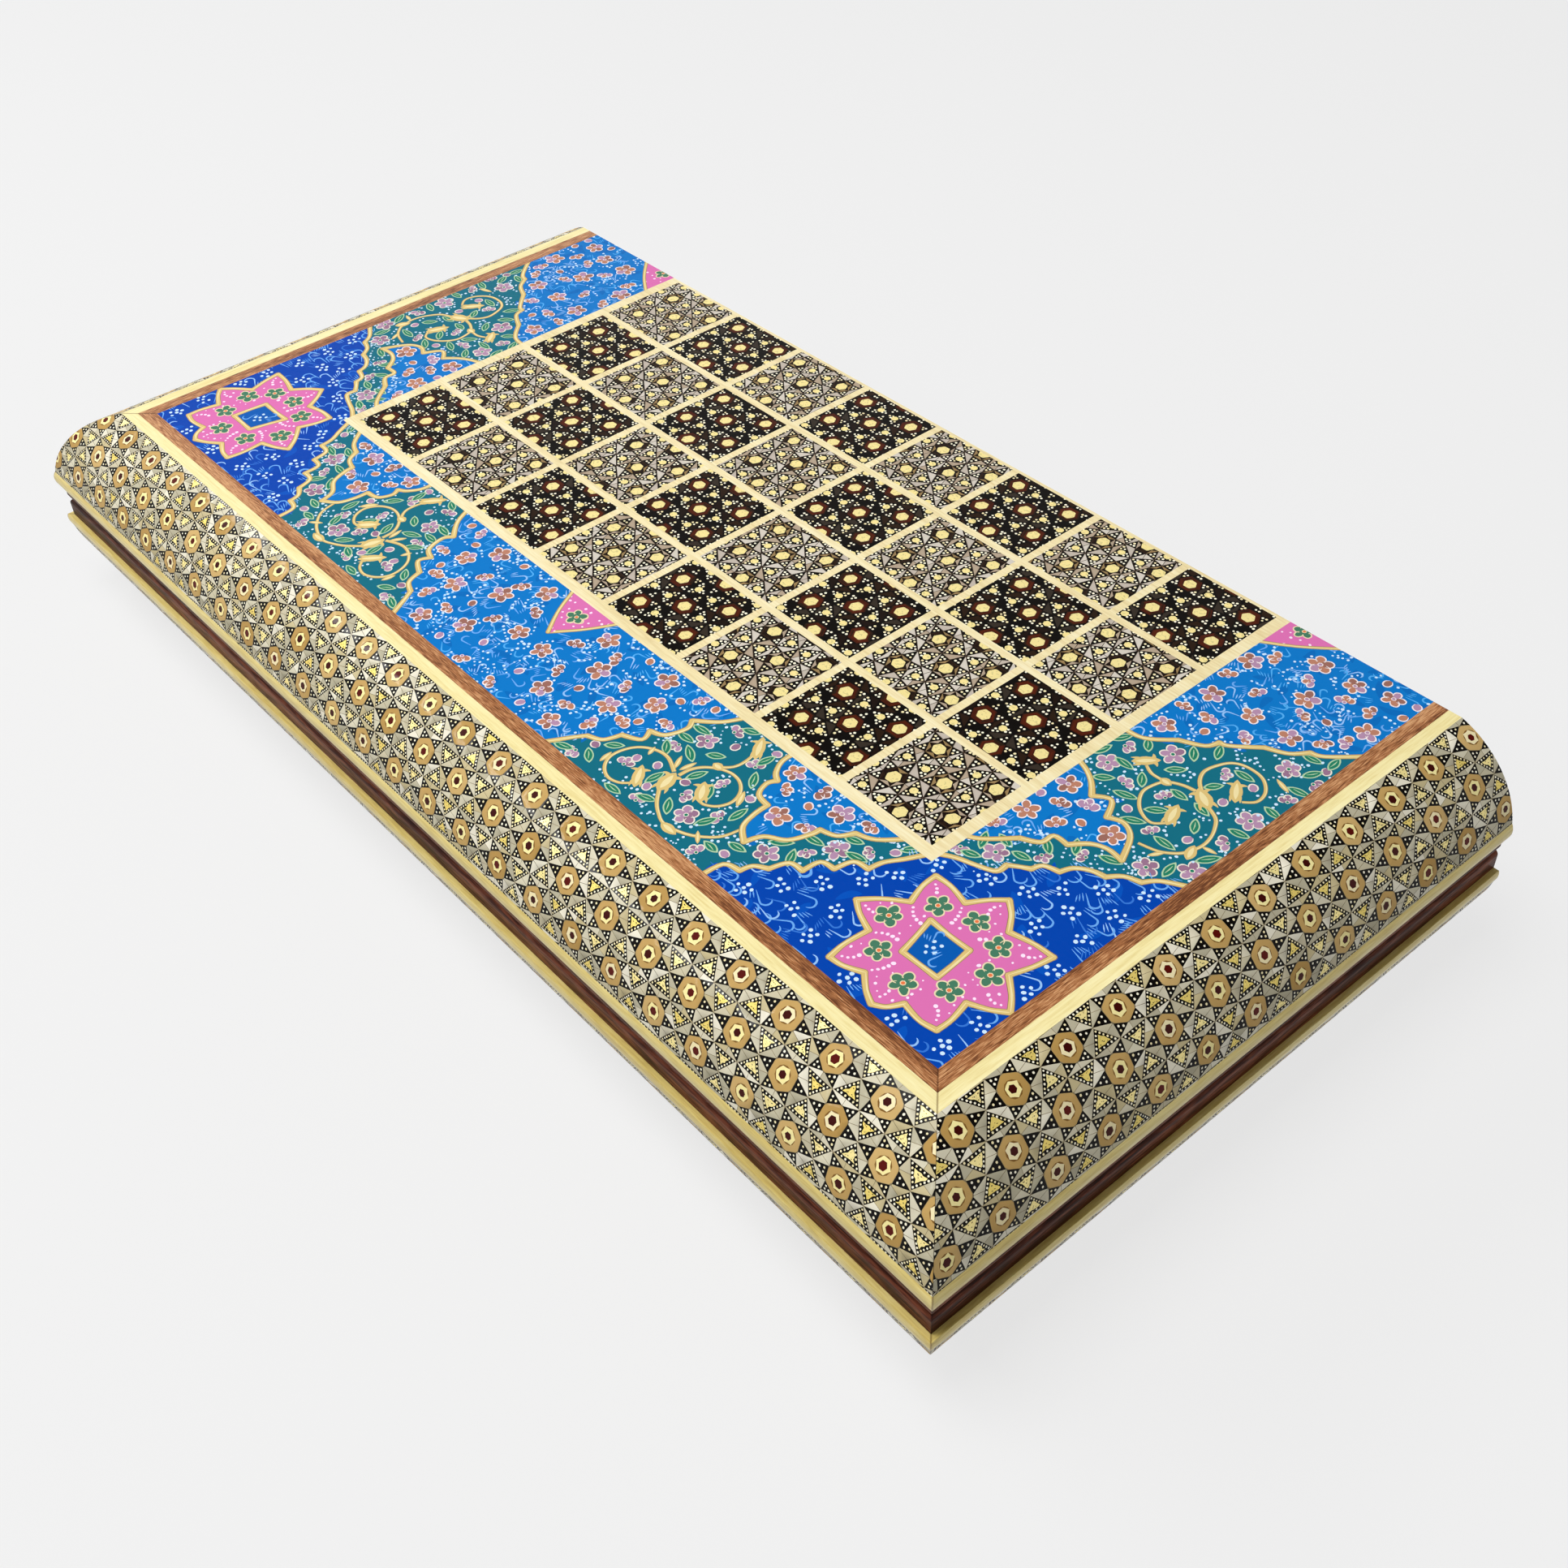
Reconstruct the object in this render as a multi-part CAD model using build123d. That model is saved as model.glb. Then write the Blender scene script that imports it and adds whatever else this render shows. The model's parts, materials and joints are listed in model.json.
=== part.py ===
from build123d import *
import math
import os

# A folding chess and backgammon board, closed. Two like leaves meet at their rims
# and are hinged along the spine. Each leaf is a shallow tray: a core panel on three
# rounded, mitred rails and a plain spine rail. The outside of the panel carries half
# a chess board in inlaid plaques with a painted border and two wood bands, and the
# inside carries twelve inlaid points of a backgammon table.
# Millimetres. X runs along the spine, -Y is the opening side, Z is up.

# Chess field
square_pitch = 39.2          # one square and one line of the field
squares_long = 8
squares_across = 4
string_width = 3.0           # pale line between two squares
frame_string = 4.6           # wider pale line round the field on its three bordered sides

# Border and bands of the outer face
painted_end_width = 54.0
painted_front_width = 50.0
walnut_band_width = 5.4
cream_band_width = 4.6
facing_thickness = 2.0       # plaques, painted panels and bands

# Rounded side moulding
arc_width = 24.5             # plan width of the curved skin
arc_drop = 27.0              # how far the curve falls
arc_bulge = 5.1              # height of the curve above its chord
skin_thickness = 1.4
edge_line_height = 5.0       # pale line under the curve
edge_line_proud = 0.9        # how far it stands out past the curve's foot
edge_line_depth = 4.9        # how deep it is let into the rail
lip_setback = 2.2            # lip behind the pale line's widest point
lip_depth = 6.0
lip_round = 2.0

# Leaf
leaf_height = 39.5           # seam to outer face
seam_gap = 0.3               # between the two rims, and between the two spines laid flat
core_thickness = 8.0
core_ledge = 6.0             # width of the rail's ledge under the core
spine_rail_width = 14.0
rim_round = 1.0              # inner edge of the rim

# Backgammon table inside
table_thickness = 3.0
points_per_row = 6
point_length = 172.0
point_base = 29.0
point_inlay = 1.0

# Butt hinges on the spine
hinge_inset = 100.0          # from the board's end to a hinge's middle
plate_length = 50.0
plate_depth = 12.0
plate_thickness = 1.3
knuckle_count = 3
knuckle_radius = 2.75
knuckle_gap = 0.2
pin_radius = 1.05
pin_play = 0.05              # radial, in the turning leaf's knuckles
barrel_clearance = 0.35      # round the barrel and past its ends, in plates and rails

# Hinge screws
screws_per_plate = 2
screw_spacing = 30.0
screw_shank_radius = 1.3
screw_head_radius = 2.6
screw_length = 11.0
screw_slot_width = 0.6
screw_slot_depth = 0.6

# Worked out from the sizes above. A leaf is built on its own, face up, with the
# hinge axis on the X axis: height is measured from the seam, and y is 0 at the axis.
half_gap = seam_gap / 2
face_top = leaf_height
core_top = leaf_height - facing_thickness
core_bottom = core_top - core_thickness
table_bottom = core_bottom - table_thickness
field_half = squares_long * square_pitch / 2
field_depth = squares_across * square_pitch
frame_out = frame_string - string_width / 2
bands = walnut_band_width + cream_band_width
edge_x = field_half + frame_out + painted_end_width + bands       # outer edge of the flat face
edge_y = field_depth + frame_out + painted_front_width + bands
inner_x = edge_x - core_ledge                                      # tray walls
inner_y = edge_y - core_ledge
reach = arc_width + edge_line_proud                                # moulding past the flat face
arc_foot = leaf_height - arc_drop
lip_top = arc_foot - edge_line_height
lip_face = reach - lip_setback
board_length = 2 * (edge_x + reach)
board_depth = edge_y + reach + knuckle_radius
spine_y = board_depth / 2 - knuckle_radius                         # hinge axis in the part's frame


def polygon_prism(points, bottom, top):
    """A plan outline standing from one height to another."""
    outline = Plane.XY.offset(bottom) * make_face(Polyline(*points, close=True))
    return extrude(outline, amount=top - bottom)


def slab(x0, x1, y0, y1, z0, z1):
    """A rectangular block between two corners."""
    return Pos((x0 + x1) / 2, (y0 + y1) / 2, (z0 + z1) / 2) * Box(x1 - x0, y1 - y0, z1 - z0)


def arc_circle():
    """Centre and radius of the moulding's curve, in section."""
    chord = math.hypot(arc_width, arc_drop)
    radius = (chord ** 2 / 4 + arc_bulge ** 2) / (2 * arc_bulge)
    drop = radius - arc_bulge
    centre_a = arc_width / 2 - drop * arc_drop / chord
    centre_h = leaf_height - arc_drop / 2 - drop * arc_width / chord
    return centre_a, centre_h, radius


def arc_ends(inset):
    """Where the curve, moved in by an inset, meets the flat face's edge and its foot."""
    centre_a, centre_h, radius = arc_circle()
    r = radius - inset
    top = (0.0, centre_h + math.sqrt(r ** 2 - centre_a ** 2))
    foot = (centre_a + math.sqrt(r ** 2 - (arc_foot - centre_h) ** 2), arc_foot)
    turn = (math.atan2(top[1] - centre_h, top[0] - centre_a)
            + math.atan2(foot[1] - centre_h, foot[0] - centre_a)) / 2
    middle = (centre_a + r * math.cos(turn), centre_h + r * math.sin(turn))
    return top, middle, foot


# Sections: a runs outward from the flat face's edge, height runs up from the seam.
def skin_section():
    top, middle, foot = arc_ends(0)
    in_top, in_middle, in_foot = arc_ends(skin_thickness)
    return make_face(Curve() + [ThreePointArc(top, middle, foot), Line(foot, in_foot),
                                ThreePointArc(in_foot, in_middle, in_top), Line(in_top, top)])


def rail_section():
    top, middle, foot = arc_ends(skin_thickness)
    line_back = arc_width + edge_line_proud - edge_line_depth
    lip_back = lip_face - lip_depth
    path = Polyline(foot, (line_back, arc_foot), (line_back, lip_top), (lip_back, lip_top),
                    (lip_back, half_gap), (-core_ledge + rim_round, half_gap))
    rounded = ThreePointArc((-core_ledge + rim_round, half_gap),
                            (-core_ledge + rim_round * (1 - math.sqrt(0.5)),
                             half_gap + rim_round * (1 - math.sqrt(0.5))),
                            (-core_ledge, half_gap + rim_round))
    inside = Polyline((-core_ledge, half_gap + rim_round), (-core_ledge, core_bottom), (0, core_bottom), top)
    return make_face(Curve() + [path, rounded, inside, ThreePointArc(top, middle, foot)])


def edge_line_section():
    back = arc_width + edge_line_proud - edge_line_depth
    outer = ThreePointArc((arc_width, arc_foot), (reach, arc_foot - edge_line_height * 0.55),
                          (reach - edge_line_proud * 0.3, lip_top))
    rest = Polyline((reach - edge_line_proud * 0.3, lip_top), (back, lip_top), (back, arc_foot),
                    (arc_width, arc_foot))
    return make_face(Curve() + [outer, rest])


def lip_section():
    back = lip_face - lip_depth
    curve = 1 - math.sqrt(0.5)
    rounded = ThreePointArc((lip_face, half_gap + lip_round),
                            (lip_face - lip_round * curve, half_gap + lip_round * curve),
                            (lip_face - lip_round, half_gap))
    rest = Polyline((lip_face - lip_round, half_gap), (back, half_gap), (back, lip_top),
                    (lip_face, lip_top), (lip_face, half_gap + lip_round))
    return make_face(Curve() + [rounded, rest])


def band_section(outer_a, width):
    """A flat band of the outer face, its outer edge at a."""
    return make_face(Polyline((outer_a, core_top), (outer_a, face_top), (outer_a - width, face_top),
                              (outer_a - width, core_top), close=True))


def side_runs(section):
    """A section run along the front and both ends, mitred at the two front corners."""
    far = edge_x + edge_y
    meet = (0, edge_x - edge_y)
    left_far = (-edge_x - far, -edge_y - far)
    right_far = (edge_x + far, -edge_y - far)
    front_zone = polygon_prism([meet, left_far, right_far], -1, leaf_height + 1)
    right_zone = polygon_prism([meet, right_far, (edge_x + far, meet[1])], -1, leaf_height + 1)
    left_zone = polygon_prism([meet, left_far, (-edge_x - far, meet[1])], -1, leaf_height + 1)
    span = edge_x + reach + 1
    depth = edge_y + reach + 1
    front = extrude(Plane((span, -edge_y, 0), x_dir=(0, -1, 0), z_dir=(-1, 0, 0)) * section, amount=2 * span)
    right = extrude(Plane((edge_x, -half_gap, 0), x_dir=(1, 0, 0), z_dir=(0, -1, 0)) * section, amount=depth)
    left = extrude(Plane((-edge_x, -depth, 0), x_dir=(-1, 0, 0), z_dir=(0, 1, 0)) * section,
                   amount=depth - half_gap)
    return front & front_zone, left & left_zone, right & right_zone


def square_blocks(parity):
    """The plaques of one shade. The front corner at +X belongs to parity 0."""
    size = square_pitch - string_width
    blocks = []
    for u in range(squares_long):
        for v in range(squares_across):
            if (u + v) % 2 == parity:
                x = field_half - (u + 0.5) * square_pitch
                y = -field_depth + (v + 0.5) * square_pitch
                blocks.append(slab(x - size / 2, x + size / 2, y - size / 2, y + size / 2, core_top, face_top))
    return blocks


def field_stringing():
    """One pale lattice round and between the squares."""
    sheet = slab(-field_half - frame_out, field_half + frame_out, -field_depth - frame_out, -half_gap,
                 core_top, face_top)
    return sheet - square_blocks(0) - square_blocks(1)


def painted_panels():
    """Front, left and right panels of the painted border, joined at the corners."""
    x0 = field_half + frame_out
    x1 = x0 + painted_end_width
    y0 = -field_depth - frame_out
    y1 = y0 - painted_front_width
    front = polygon_prism([(-x0, y0), (x0, y0), (x1, y1), (-x1, y1)], core_top, face_top)
    left = polygon_prism([(-x0, -half_gap), (-x0, y0), (-x1, y1), (-x1, -half_gap)], core_top, face_top)
    right = polygon_prism([(x0, -half_gap), (x0, y0), (x1, y1), (x1, -half_gap)], core_top, face_top)
    return front, left, right


def core_panel():
    return slab(-edge_x, edge_x, -edge_y, -half_gap - spine_rail_width + core_ledge, core_bottom, core_top)


def hinge_places():
    place = board_length / 2 - hinge_inset
    return (-place, place)


def screw_places():
    return [(i - (screws_per_plate - 1) / 2) * screw_spacing for i in range(screws_per_plate)]


def plate_flat():
    """The plate's flat part, from the axis inward."""
    return slab(-plate_length / 2, plate_length / 2, -plate_depth, 0, half_gap, half_gap + plate_thickness)


def barrel(radius, length):
    return Rot(0, 90, 0) * Cylinder(radius, length)


def knuckle_spans(first):
    """Middle and length of every second knuckle."""
    length = (plate_length - (knuckle_count - 1) * knuckle_gap) / knuckle_count
    step = length + knuckle_gap
    return [(-plate_length / 2 + length / 2 + i * step, length) for i in range(first, knuckle_count, 2)]


def screw_y():
    return -(knuckle_radius + plate_depth) / 2


def hinge_plate(first, bore):
    """A plate with its own knuckles, notched round the other plate's."""
    plate = plate_flat()
    for x, length in knuckle_spans(1 - first):
        plate -= Pos(x, 0, 0) * barrel(knuckle_radius + barrel_clearance, length + 2 * knuckle_gap)
    for x, length in knuckle_spans(first):
        plate += Pos(x, 0, 0) * barrel(knuckle_radius, length)
    plate -= barrel(bore, plate_length + 2)
    for x in screw_places():
        plate -= Pos(x, screw_y(), 0) * screw_solid(0)
    return plate


def screw_solid(slot):
    """A countersunk screw, its head flush with the rim, with or without its slot."""
    head_height = plate_thickness
    shank = screw_length - head_height
    base = half_gap
    body = Pos(0, 0, base + head_height / 2) * Cone(screw_head_radius, screw_shank_radius, head_height)
    body += Pos(0, 0, base + head_height + shank / 2) * Cylinder(screw_shank_radius, shank)
    if slot:
        body -= Pos(0, 0, base) * Box(3 * screw_head_radius, screw_slot_width, 2 * screw_slot_depth)
    return body


def hinge_pin():
    """A plain pin, its ends flush with the barrel's."""
    return barrel(pin_radius, plate_length)


def spine_rail():
    """The straight rail along the hinges, lapped over the end rails' ledges."""
    top = slab(-edge_x, edge_x, -half_gap - spine_rail_width + core_ledge, -half_gap, core_bottom, core_top)
    wall = slab(-inner_x, inner_x, -half_gap - spine_rail_width, -half_gap, half_gap, core_bottom)
    inner_rim = wall.edges().filter_by(Axis.X).group_by(Axis.Z)[0].sort_by(Axis.Y)[0]
    rail = top + fillet(inner_rim, rim_round)
    scoop = barrel(knuckle_radius + barrel_clearance, plate_length + 2 * barrel_clearance)
    for hinge_x in hinge_places():
        rail -= Pos(hinge_x, 0, 0) * scoop
        rail -= Pos(hinge_x, 0, 0) * plate_flat()
        for x in screw_places():
            rail -= Pos(hinge_x + x, screw_y(), 0) * screw_solid(0)
    return rail


def point_blocks(parity):
    """The inlaid points of one shade, growing from both ends towards the middle."""
    table_front = -inner_y
    table_back = -half_gap - spine_rail_width
    pitch = (table_back - table_front) / points_per_row
    blocks = []
    for row, side in enumerate((-1, 1)):
        for i in range(points_per_row):
            if (i + row) % 2 == parity:
                y = table_front + (i + 0.5) * pitch
                outline = [(side * inner_x, y - point_base / 2), (side * inner_x, y + point_base / 2),
                           (side * (inner_x - point_length), y)]
                blocks.append(polygon_prism(outline, table_bottom, table_bottom + point_inlay))
    return blocks


def playing_table():
    panel = slab(-inner_x, inner_x, -inner_y, -half_gap - spine_rail_width, table_bottom, core_bottom)
    return panel - point_blocks(0) - point_blocks(1)


def leaf_pieces():
    """Every wooden piece of one leaf, by name, each a list of solids."""
    skins = side_runs(skin_section())
    rails = side_runs(rail_section())
    painted = painted_panels()
    names = ("front", "left", "right")
    pieces = {
        "core_panel": [core_panel()],
        "chess_light_squares": square_blocks(0),
        "chess_dark_squares": square_blocks(1),
        "chess_stringing": [field_stringing()],
        "walnut_banding": list(side_runs(band_section(-cream_band_width, walnut_band_width))),
        "cream_banding": list(side_runs(band_section(0, cream_band_width))),
        "edge_line": list(side_runs(edge_line_section())),
        "rim_lip": list(side_runs(lip_section())),
        "spine_rail": [spine_rail()],
        "backgammon_table": [playing_table()],
        "points_light": point_blocks(0),
        "points_dark": point_blocks(1),
    }
    for name, skin, rail, panel in zip(names, skins, rails, painted):
        pieces[f"inlaid_moulding_{name}"] = [skin]
        pieces[f"{name}_rail"] = [rail]
        pieces[f"painted_border_{name}"] = [panel]
    return pieces


def solids_of(shape):
    return shape.solids() if hasattr(shape, "solids") else [shape]


def save(name, shapes, place):
    """One STEP file for a node, moved from the leaf's frame to the part's."""
    solids = [place * solid for shape in shapes for solid in solids_of(shape)]
    node = solids[0] if len(solids) == 1 else Compound(children=solids)
    node.label = name
    export_step(node, f"parts/{name}.step")


# The lower leaf is the upper one turned over about the Y direction, which also puts
# the shades of its squares and points where they carry on across the fold.
upper_place = Pos(0, spine_y, leaf_height)
lower_place = Pos(0, spine_y, leaf_height) * Rot(0, 180, 0)

os.makedirs("parts", exist_ok=True)
for leaf, place in (("upper", upper_place), ("lower", lower_place)):
    for piece, shapes in leaf_pieces().items():
        save(f"{piece}_{leaf}", shapes, place)
    screws = [Pos(h + x, screw_y(), 0) * screw_solid(1) for h in hinge_places() for x in screw_places()]
    save(f"hinge_screws_{leaf}", screws, place)

for hand, hinge_x in zip(("left", "right"), hinge_places()):
    at = Pos(hinge_x, spine_y, leaf_height)
    save(f"hinge_plate_{hand}_upper", [hinge_plate(1, pin_radius + pin_play)], at)
    save(f"hinge_plate_{hand}_lower", [hinge_plate(0, pin_radius)], at * Rot(0, 180, 0))
    save(f"hinge_pin_{hand}", [hinge_pin()], at)

print(f"closed board {board_length:.1f} x {board_depth:.1f} x {2 * leaf_height:.1f} mm, hinge axis y {spine_y:.2f}")
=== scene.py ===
import json
import math
import random

import bmesh
import bpy
from mathutils import Matrix, Vector
from mathutils.geometry import delaunay_2d_cdt


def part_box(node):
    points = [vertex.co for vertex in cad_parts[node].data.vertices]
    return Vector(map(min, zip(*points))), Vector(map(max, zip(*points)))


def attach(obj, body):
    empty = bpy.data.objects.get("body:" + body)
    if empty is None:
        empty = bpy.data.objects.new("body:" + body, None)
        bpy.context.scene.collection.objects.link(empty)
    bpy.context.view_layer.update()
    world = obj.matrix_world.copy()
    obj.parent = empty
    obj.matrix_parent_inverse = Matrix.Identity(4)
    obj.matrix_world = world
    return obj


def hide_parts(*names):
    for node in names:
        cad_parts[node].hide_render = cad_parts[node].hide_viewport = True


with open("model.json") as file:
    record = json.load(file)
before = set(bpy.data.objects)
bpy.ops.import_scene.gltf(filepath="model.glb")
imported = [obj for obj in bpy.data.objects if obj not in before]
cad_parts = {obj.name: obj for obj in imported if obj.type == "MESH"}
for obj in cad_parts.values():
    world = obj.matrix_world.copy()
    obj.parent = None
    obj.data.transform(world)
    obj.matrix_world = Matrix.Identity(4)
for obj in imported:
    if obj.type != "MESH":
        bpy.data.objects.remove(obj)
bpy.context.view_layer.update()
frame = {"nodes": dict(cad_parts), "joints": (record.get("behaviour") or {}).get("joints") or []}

# A closed folding board. The star mosaic of the mouldings and squares is cut as real
# shapes, laid over each other in order and flattened into one skin a piece. Patterns
# are drawn in millimetres on a leaf's own face: x as in the part, y counted from the
# hinge axis, so that the opening side is negative.

MM = 0.001

# Places read from the frame, metres
fold_axis = Vector(frame["joints"][0]["pos_m"])
band_low, band_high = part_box("cream_banding_upper")
face_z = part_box("chess_stringing_upper")[1].z
spine_y = fold_axis.y
seam_z = fold_axis.z

# Outer face, millimetres
SQUARES_LONG = 8
SQUARES_ACROSS = 4
PITCH = 39.2
STRING = 3.0
BANDS = 10.0             # walnut and pale bands together
PANEL_END = 54.0         # painted panels, across
PANEL_FRONT = 50.0
FACING = 2.0             # thickness of plaques and painted panels
HALF_GAP = 0.15          # between a leaf and the plane of the hinge axis
EDGE_X = band_high.x / MM
EDGE_Y = (spine_y - band_low.y) / MM
FIELD_X = SQUARES_LONG * PITCH / 2
FIELD_Y = SQUARES_ACROSS * PITCH

# Rounded moulding, millimetres
ARC_WIDTH = 24.5
ARC_DROP = 27.0
ARC_BULGE = 5.1
SKIN = 1.4
MITRE_GAP = 0.08

# Star mosaic, millimetres
FRONT_STEP = 19.1        # between stars along the front moulding
END_STEP = 19.55
MOULDING_ROW = 12.6      # between rows of stars
FRONT_STAR = (154.5, 6.0)        # one star of the front moulding: along it, and down the curve
END_STAR = (-159.8, 6.4)
PLAQUE_STEP = 18.2
PLAQUE_ROW = 12.2
JOINT = 0.07             # half a joint between two inlays
WANDER = 0.22            # how far the hand-cut pattern strays
BACK_STEP = 24           # between the points inside a moulding's back

NOISE_ROUGHNESS = 0.55
TRIES = 12               # draws for each place or direction that is wanted

# The lower leaf is the upper one turned over about the Y direction
TURN_OVER = (Matrix.Translation((0, 0, seam_z)) @ Matrix.Rotation(math.pi, 4, "Y")
             @ Matrix.Translation((0, 0, -seam_z)))
LEAVES = (("upper", "upper_leaf", Matrix.Identity(4)), ("lower", "lower_leaf", TURN_OVER))


# Materials

def linear(colour):
    """An 8-bit display colour as the shader wants it."""
    parts = [c / 255 for c in colour]
    return (*[c / 12.92 if c <= 0.04045 else ((c + 0.055) / 1.055) ** 2.4 for c in parts], 1.0)


def new_material(name):
    material = bpy.data.materials.new(name)
    material.use_nodes = True
    tree = material.node_tree
    return material, tree, tree.nodes["Principled BSDF"]


def fill(tree, node, inputs):
    """Sets a node's inputs, by name or number, to plain values or links them."""
    for key, value in inputs.items():
        if isinstance(value, bpy.types.NodeSocket):
            tree.links.new(value, node.inputs[key])
        else:
            node.inputs[key].default_value = value


def add(tree, kind, inputs, output=0, **settings):
    """A new node with its settings and inputs filled in, as one of its outputs."""
    node = tree.nodes.new("ShaderNode" + kind)
    for key, value in settings.items():
        setattr(node, key, value)
    fill(tree, node, inputs)
    return node.outputs[output]


def object_space(tree):
    return tree.nodes.new("ShaderNodeTexCoord").outputs["Object"]


def noise(tree, place, scale, detail=3.0, stretch=(1, 1, 1)):
    """Noise with features per metre, squeezed along an axis by its stretch."""
    place = add(tree, "Mapping", {"Scale": stretch, "Vector": place})
    return add(tree, "TexNoise", {"Scale": scale, "Detail": detail, "Roughness": NOISE_ROUGHNESS,
                                  "Vector": place}, "Fac")


def span(tree, value, low, high, start=0.3, stop=0.7):
    """A value between start and stop carried over to low and high."""
    return add(tree, "MapRange", {"Value": value, "From Min": start, "From Max": stop,
                                  "To Min": low, "To Max": high}, "Result")


def maths(tree, operation, a, b):
    return add(tree, "Math", {0: a, 1: b}, operation=operation)


def ramp(tree, value, stops):
    """A colour for a value, from (place, display colour) stops."""
    node = tree.nodes.new("ShaderNodeValToRGB")
    points = node.color_ramp.elements
    while len(points) < len(stops):
        points.new(0.5)
    for point, (place, colour) in zip(points, stops):
        point.position = place
        point.color = linear(colour)
    tree.links.new(value, node.inputs["Fac"])
    return node.outputs["Color"]


def bump(tree, shader, height, strength, distance):
    relief = {"Strength": strength, "Distance": distance, "Height": height}
    fill(tree, shader, {"Normal": add(tree, "Bump", relief, "Normal")})


def lacquer(shader, weight=0.1, roughness=0.06):
    shader.inputs["Coat Weight"].default_value = weight
    shader.inputs["Coat Roughness"].default_value = roughness


def inlay_material(name, colour, roughness, metallic):
    """One shade of a cut inlay or of a paint, under lacquer that isn't quite level."""
    material, tree, shader = new_material(name)
    place = object_space(tree)
    gloss = span(tree, noise(tree, place, 900, 2.0), roughness - 0.08, roughness + 0.1)
    fill(tree, shader, {"Base Color": linear(colour), "Metallic": metallic,
                        "Specular IOR Level": 0.05, "Roughness": gloss})
    bump(tree, shader, noise(tree, place, 240), 0.2, 0.0004)
    lacquer(shader)
    return material


# Streaks per metre, fine and broad, by the axis that the fibres run along
FIBRES = {"X": ((110, 1500, 1500), (12, 160, 160)), "Y": ((1500, 110, 1500), (160, 12, 160))}


def fibres(tree, place, axis, fineness):
    """Wood fibres along an axis, from 0 to 1: fine streaks on broader ones."""
    fine, broad = FIBRES[axis]
    fine = noise(tree, place, 1.0, 4.0, [f * fineness for f in fine])
    return add(tree, "Mix", {0: 0.4, 2: fine, 3: noise(tree, place, 1.0, 2.0, broad)})


def mitred_fibres(tree, place, fineness):
    """Fibres along the front and along the ends, and how near the mitre between them is."""
    parts = tree.nodes.new("ShaderNodeSeparateXYZ")
    fill(tree, parts, {0: place})
    out = maths(tree, "ABSOLUTE", parts.outputs["X"], 0)
    beside = maths(tree, "SUBTRACT", out, EDGE_X * MM)
    before = maths(tree, "SUBTRACT", spine_y - EDGE_Y * MM, parts.outputs["Y"])
    past = maths(tree, "SUBTRACT", beside, before)
    grain = add(tree, "Mix", {0: maths(tree, "GREATER_THAN", past, 0),
                              2: fibres(tree, place, "X", fineness),
                              3: fibres(tree, place, "Y", fineness)})
    return grain, span(tree, maths(tree, "ABSOLUTE", past, 0), 1.0, 0.0, 0.0001, 0.0005)


MITRE_SHADE = (120, 90, 60)      # darkens a mitre's glue line


def wood(name, colours, roughness, coat, axis="mitred", relief=0.15, spread=0.14, gloss=0.2,
         fineness=1.0):
    """Wood in three colours, dark to light, with its grain in gloss and relief too.
    A small spread makes the streaks stand out."""
    material, tree, shader = new_material(name)
    place = object_space(tree)
    if axis == "mitred":
        grain, joint = mitred_fibres(tree, place, fineness)
    else:
        grain, joint = fibres(tree, place, axis, fineness), None
    colour = ramp(tree, grain, list(zip((0.5 - spread, 0.5, 0.5 + spread), colours)))
    if joint:
        share = maths(tree, "MULTIPLY", joint, 0.7)
        colour = add(tree, "Mix", {0: share, 6: colour, 7: linear(MITRE_SHADE)}, 2,
                     data_type="RGBA", blend_type="MULTIPLY")
    fill(tree, shader, {"Base Color": colour, "Specular IOR Level": gloss,
                        "Roughness": span(tree, grain, roughness + 0.08, roughness - 0.06)})
    bump(tree, shader, grain, relief, 0.0003)
    lacquer(shader, coat, 0.08)
    return material


def brass_material():
    """Rubbed brass: scratches along the hinge, tarnished in patches."""
    material, tree, shader = new_material("hinge_brass")
    place = object_space(tree)
    scratches = noise(tree, place, 1.0, 3.0, (40, 1500, 1500))
    patches = noise(tree, place, 160, 4.0)
    shades = [(0.34, (150, 112, 58)), (0.5, (206, 166, 88)), (0.66, (222, 186, 108))]
    worn = maths(tree, "ADD", scratches, patches)
    fill(tree, shader, {"Base Color": ramp(tree, patches, shades), "Metallic": 1.0,
                        "Roughness": span(tree, worn, 0.42, 0.2, 0.7, 1.3)})
    bump(tree, shader, scratches, 0.2, 0.0001)
    return material


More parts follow.
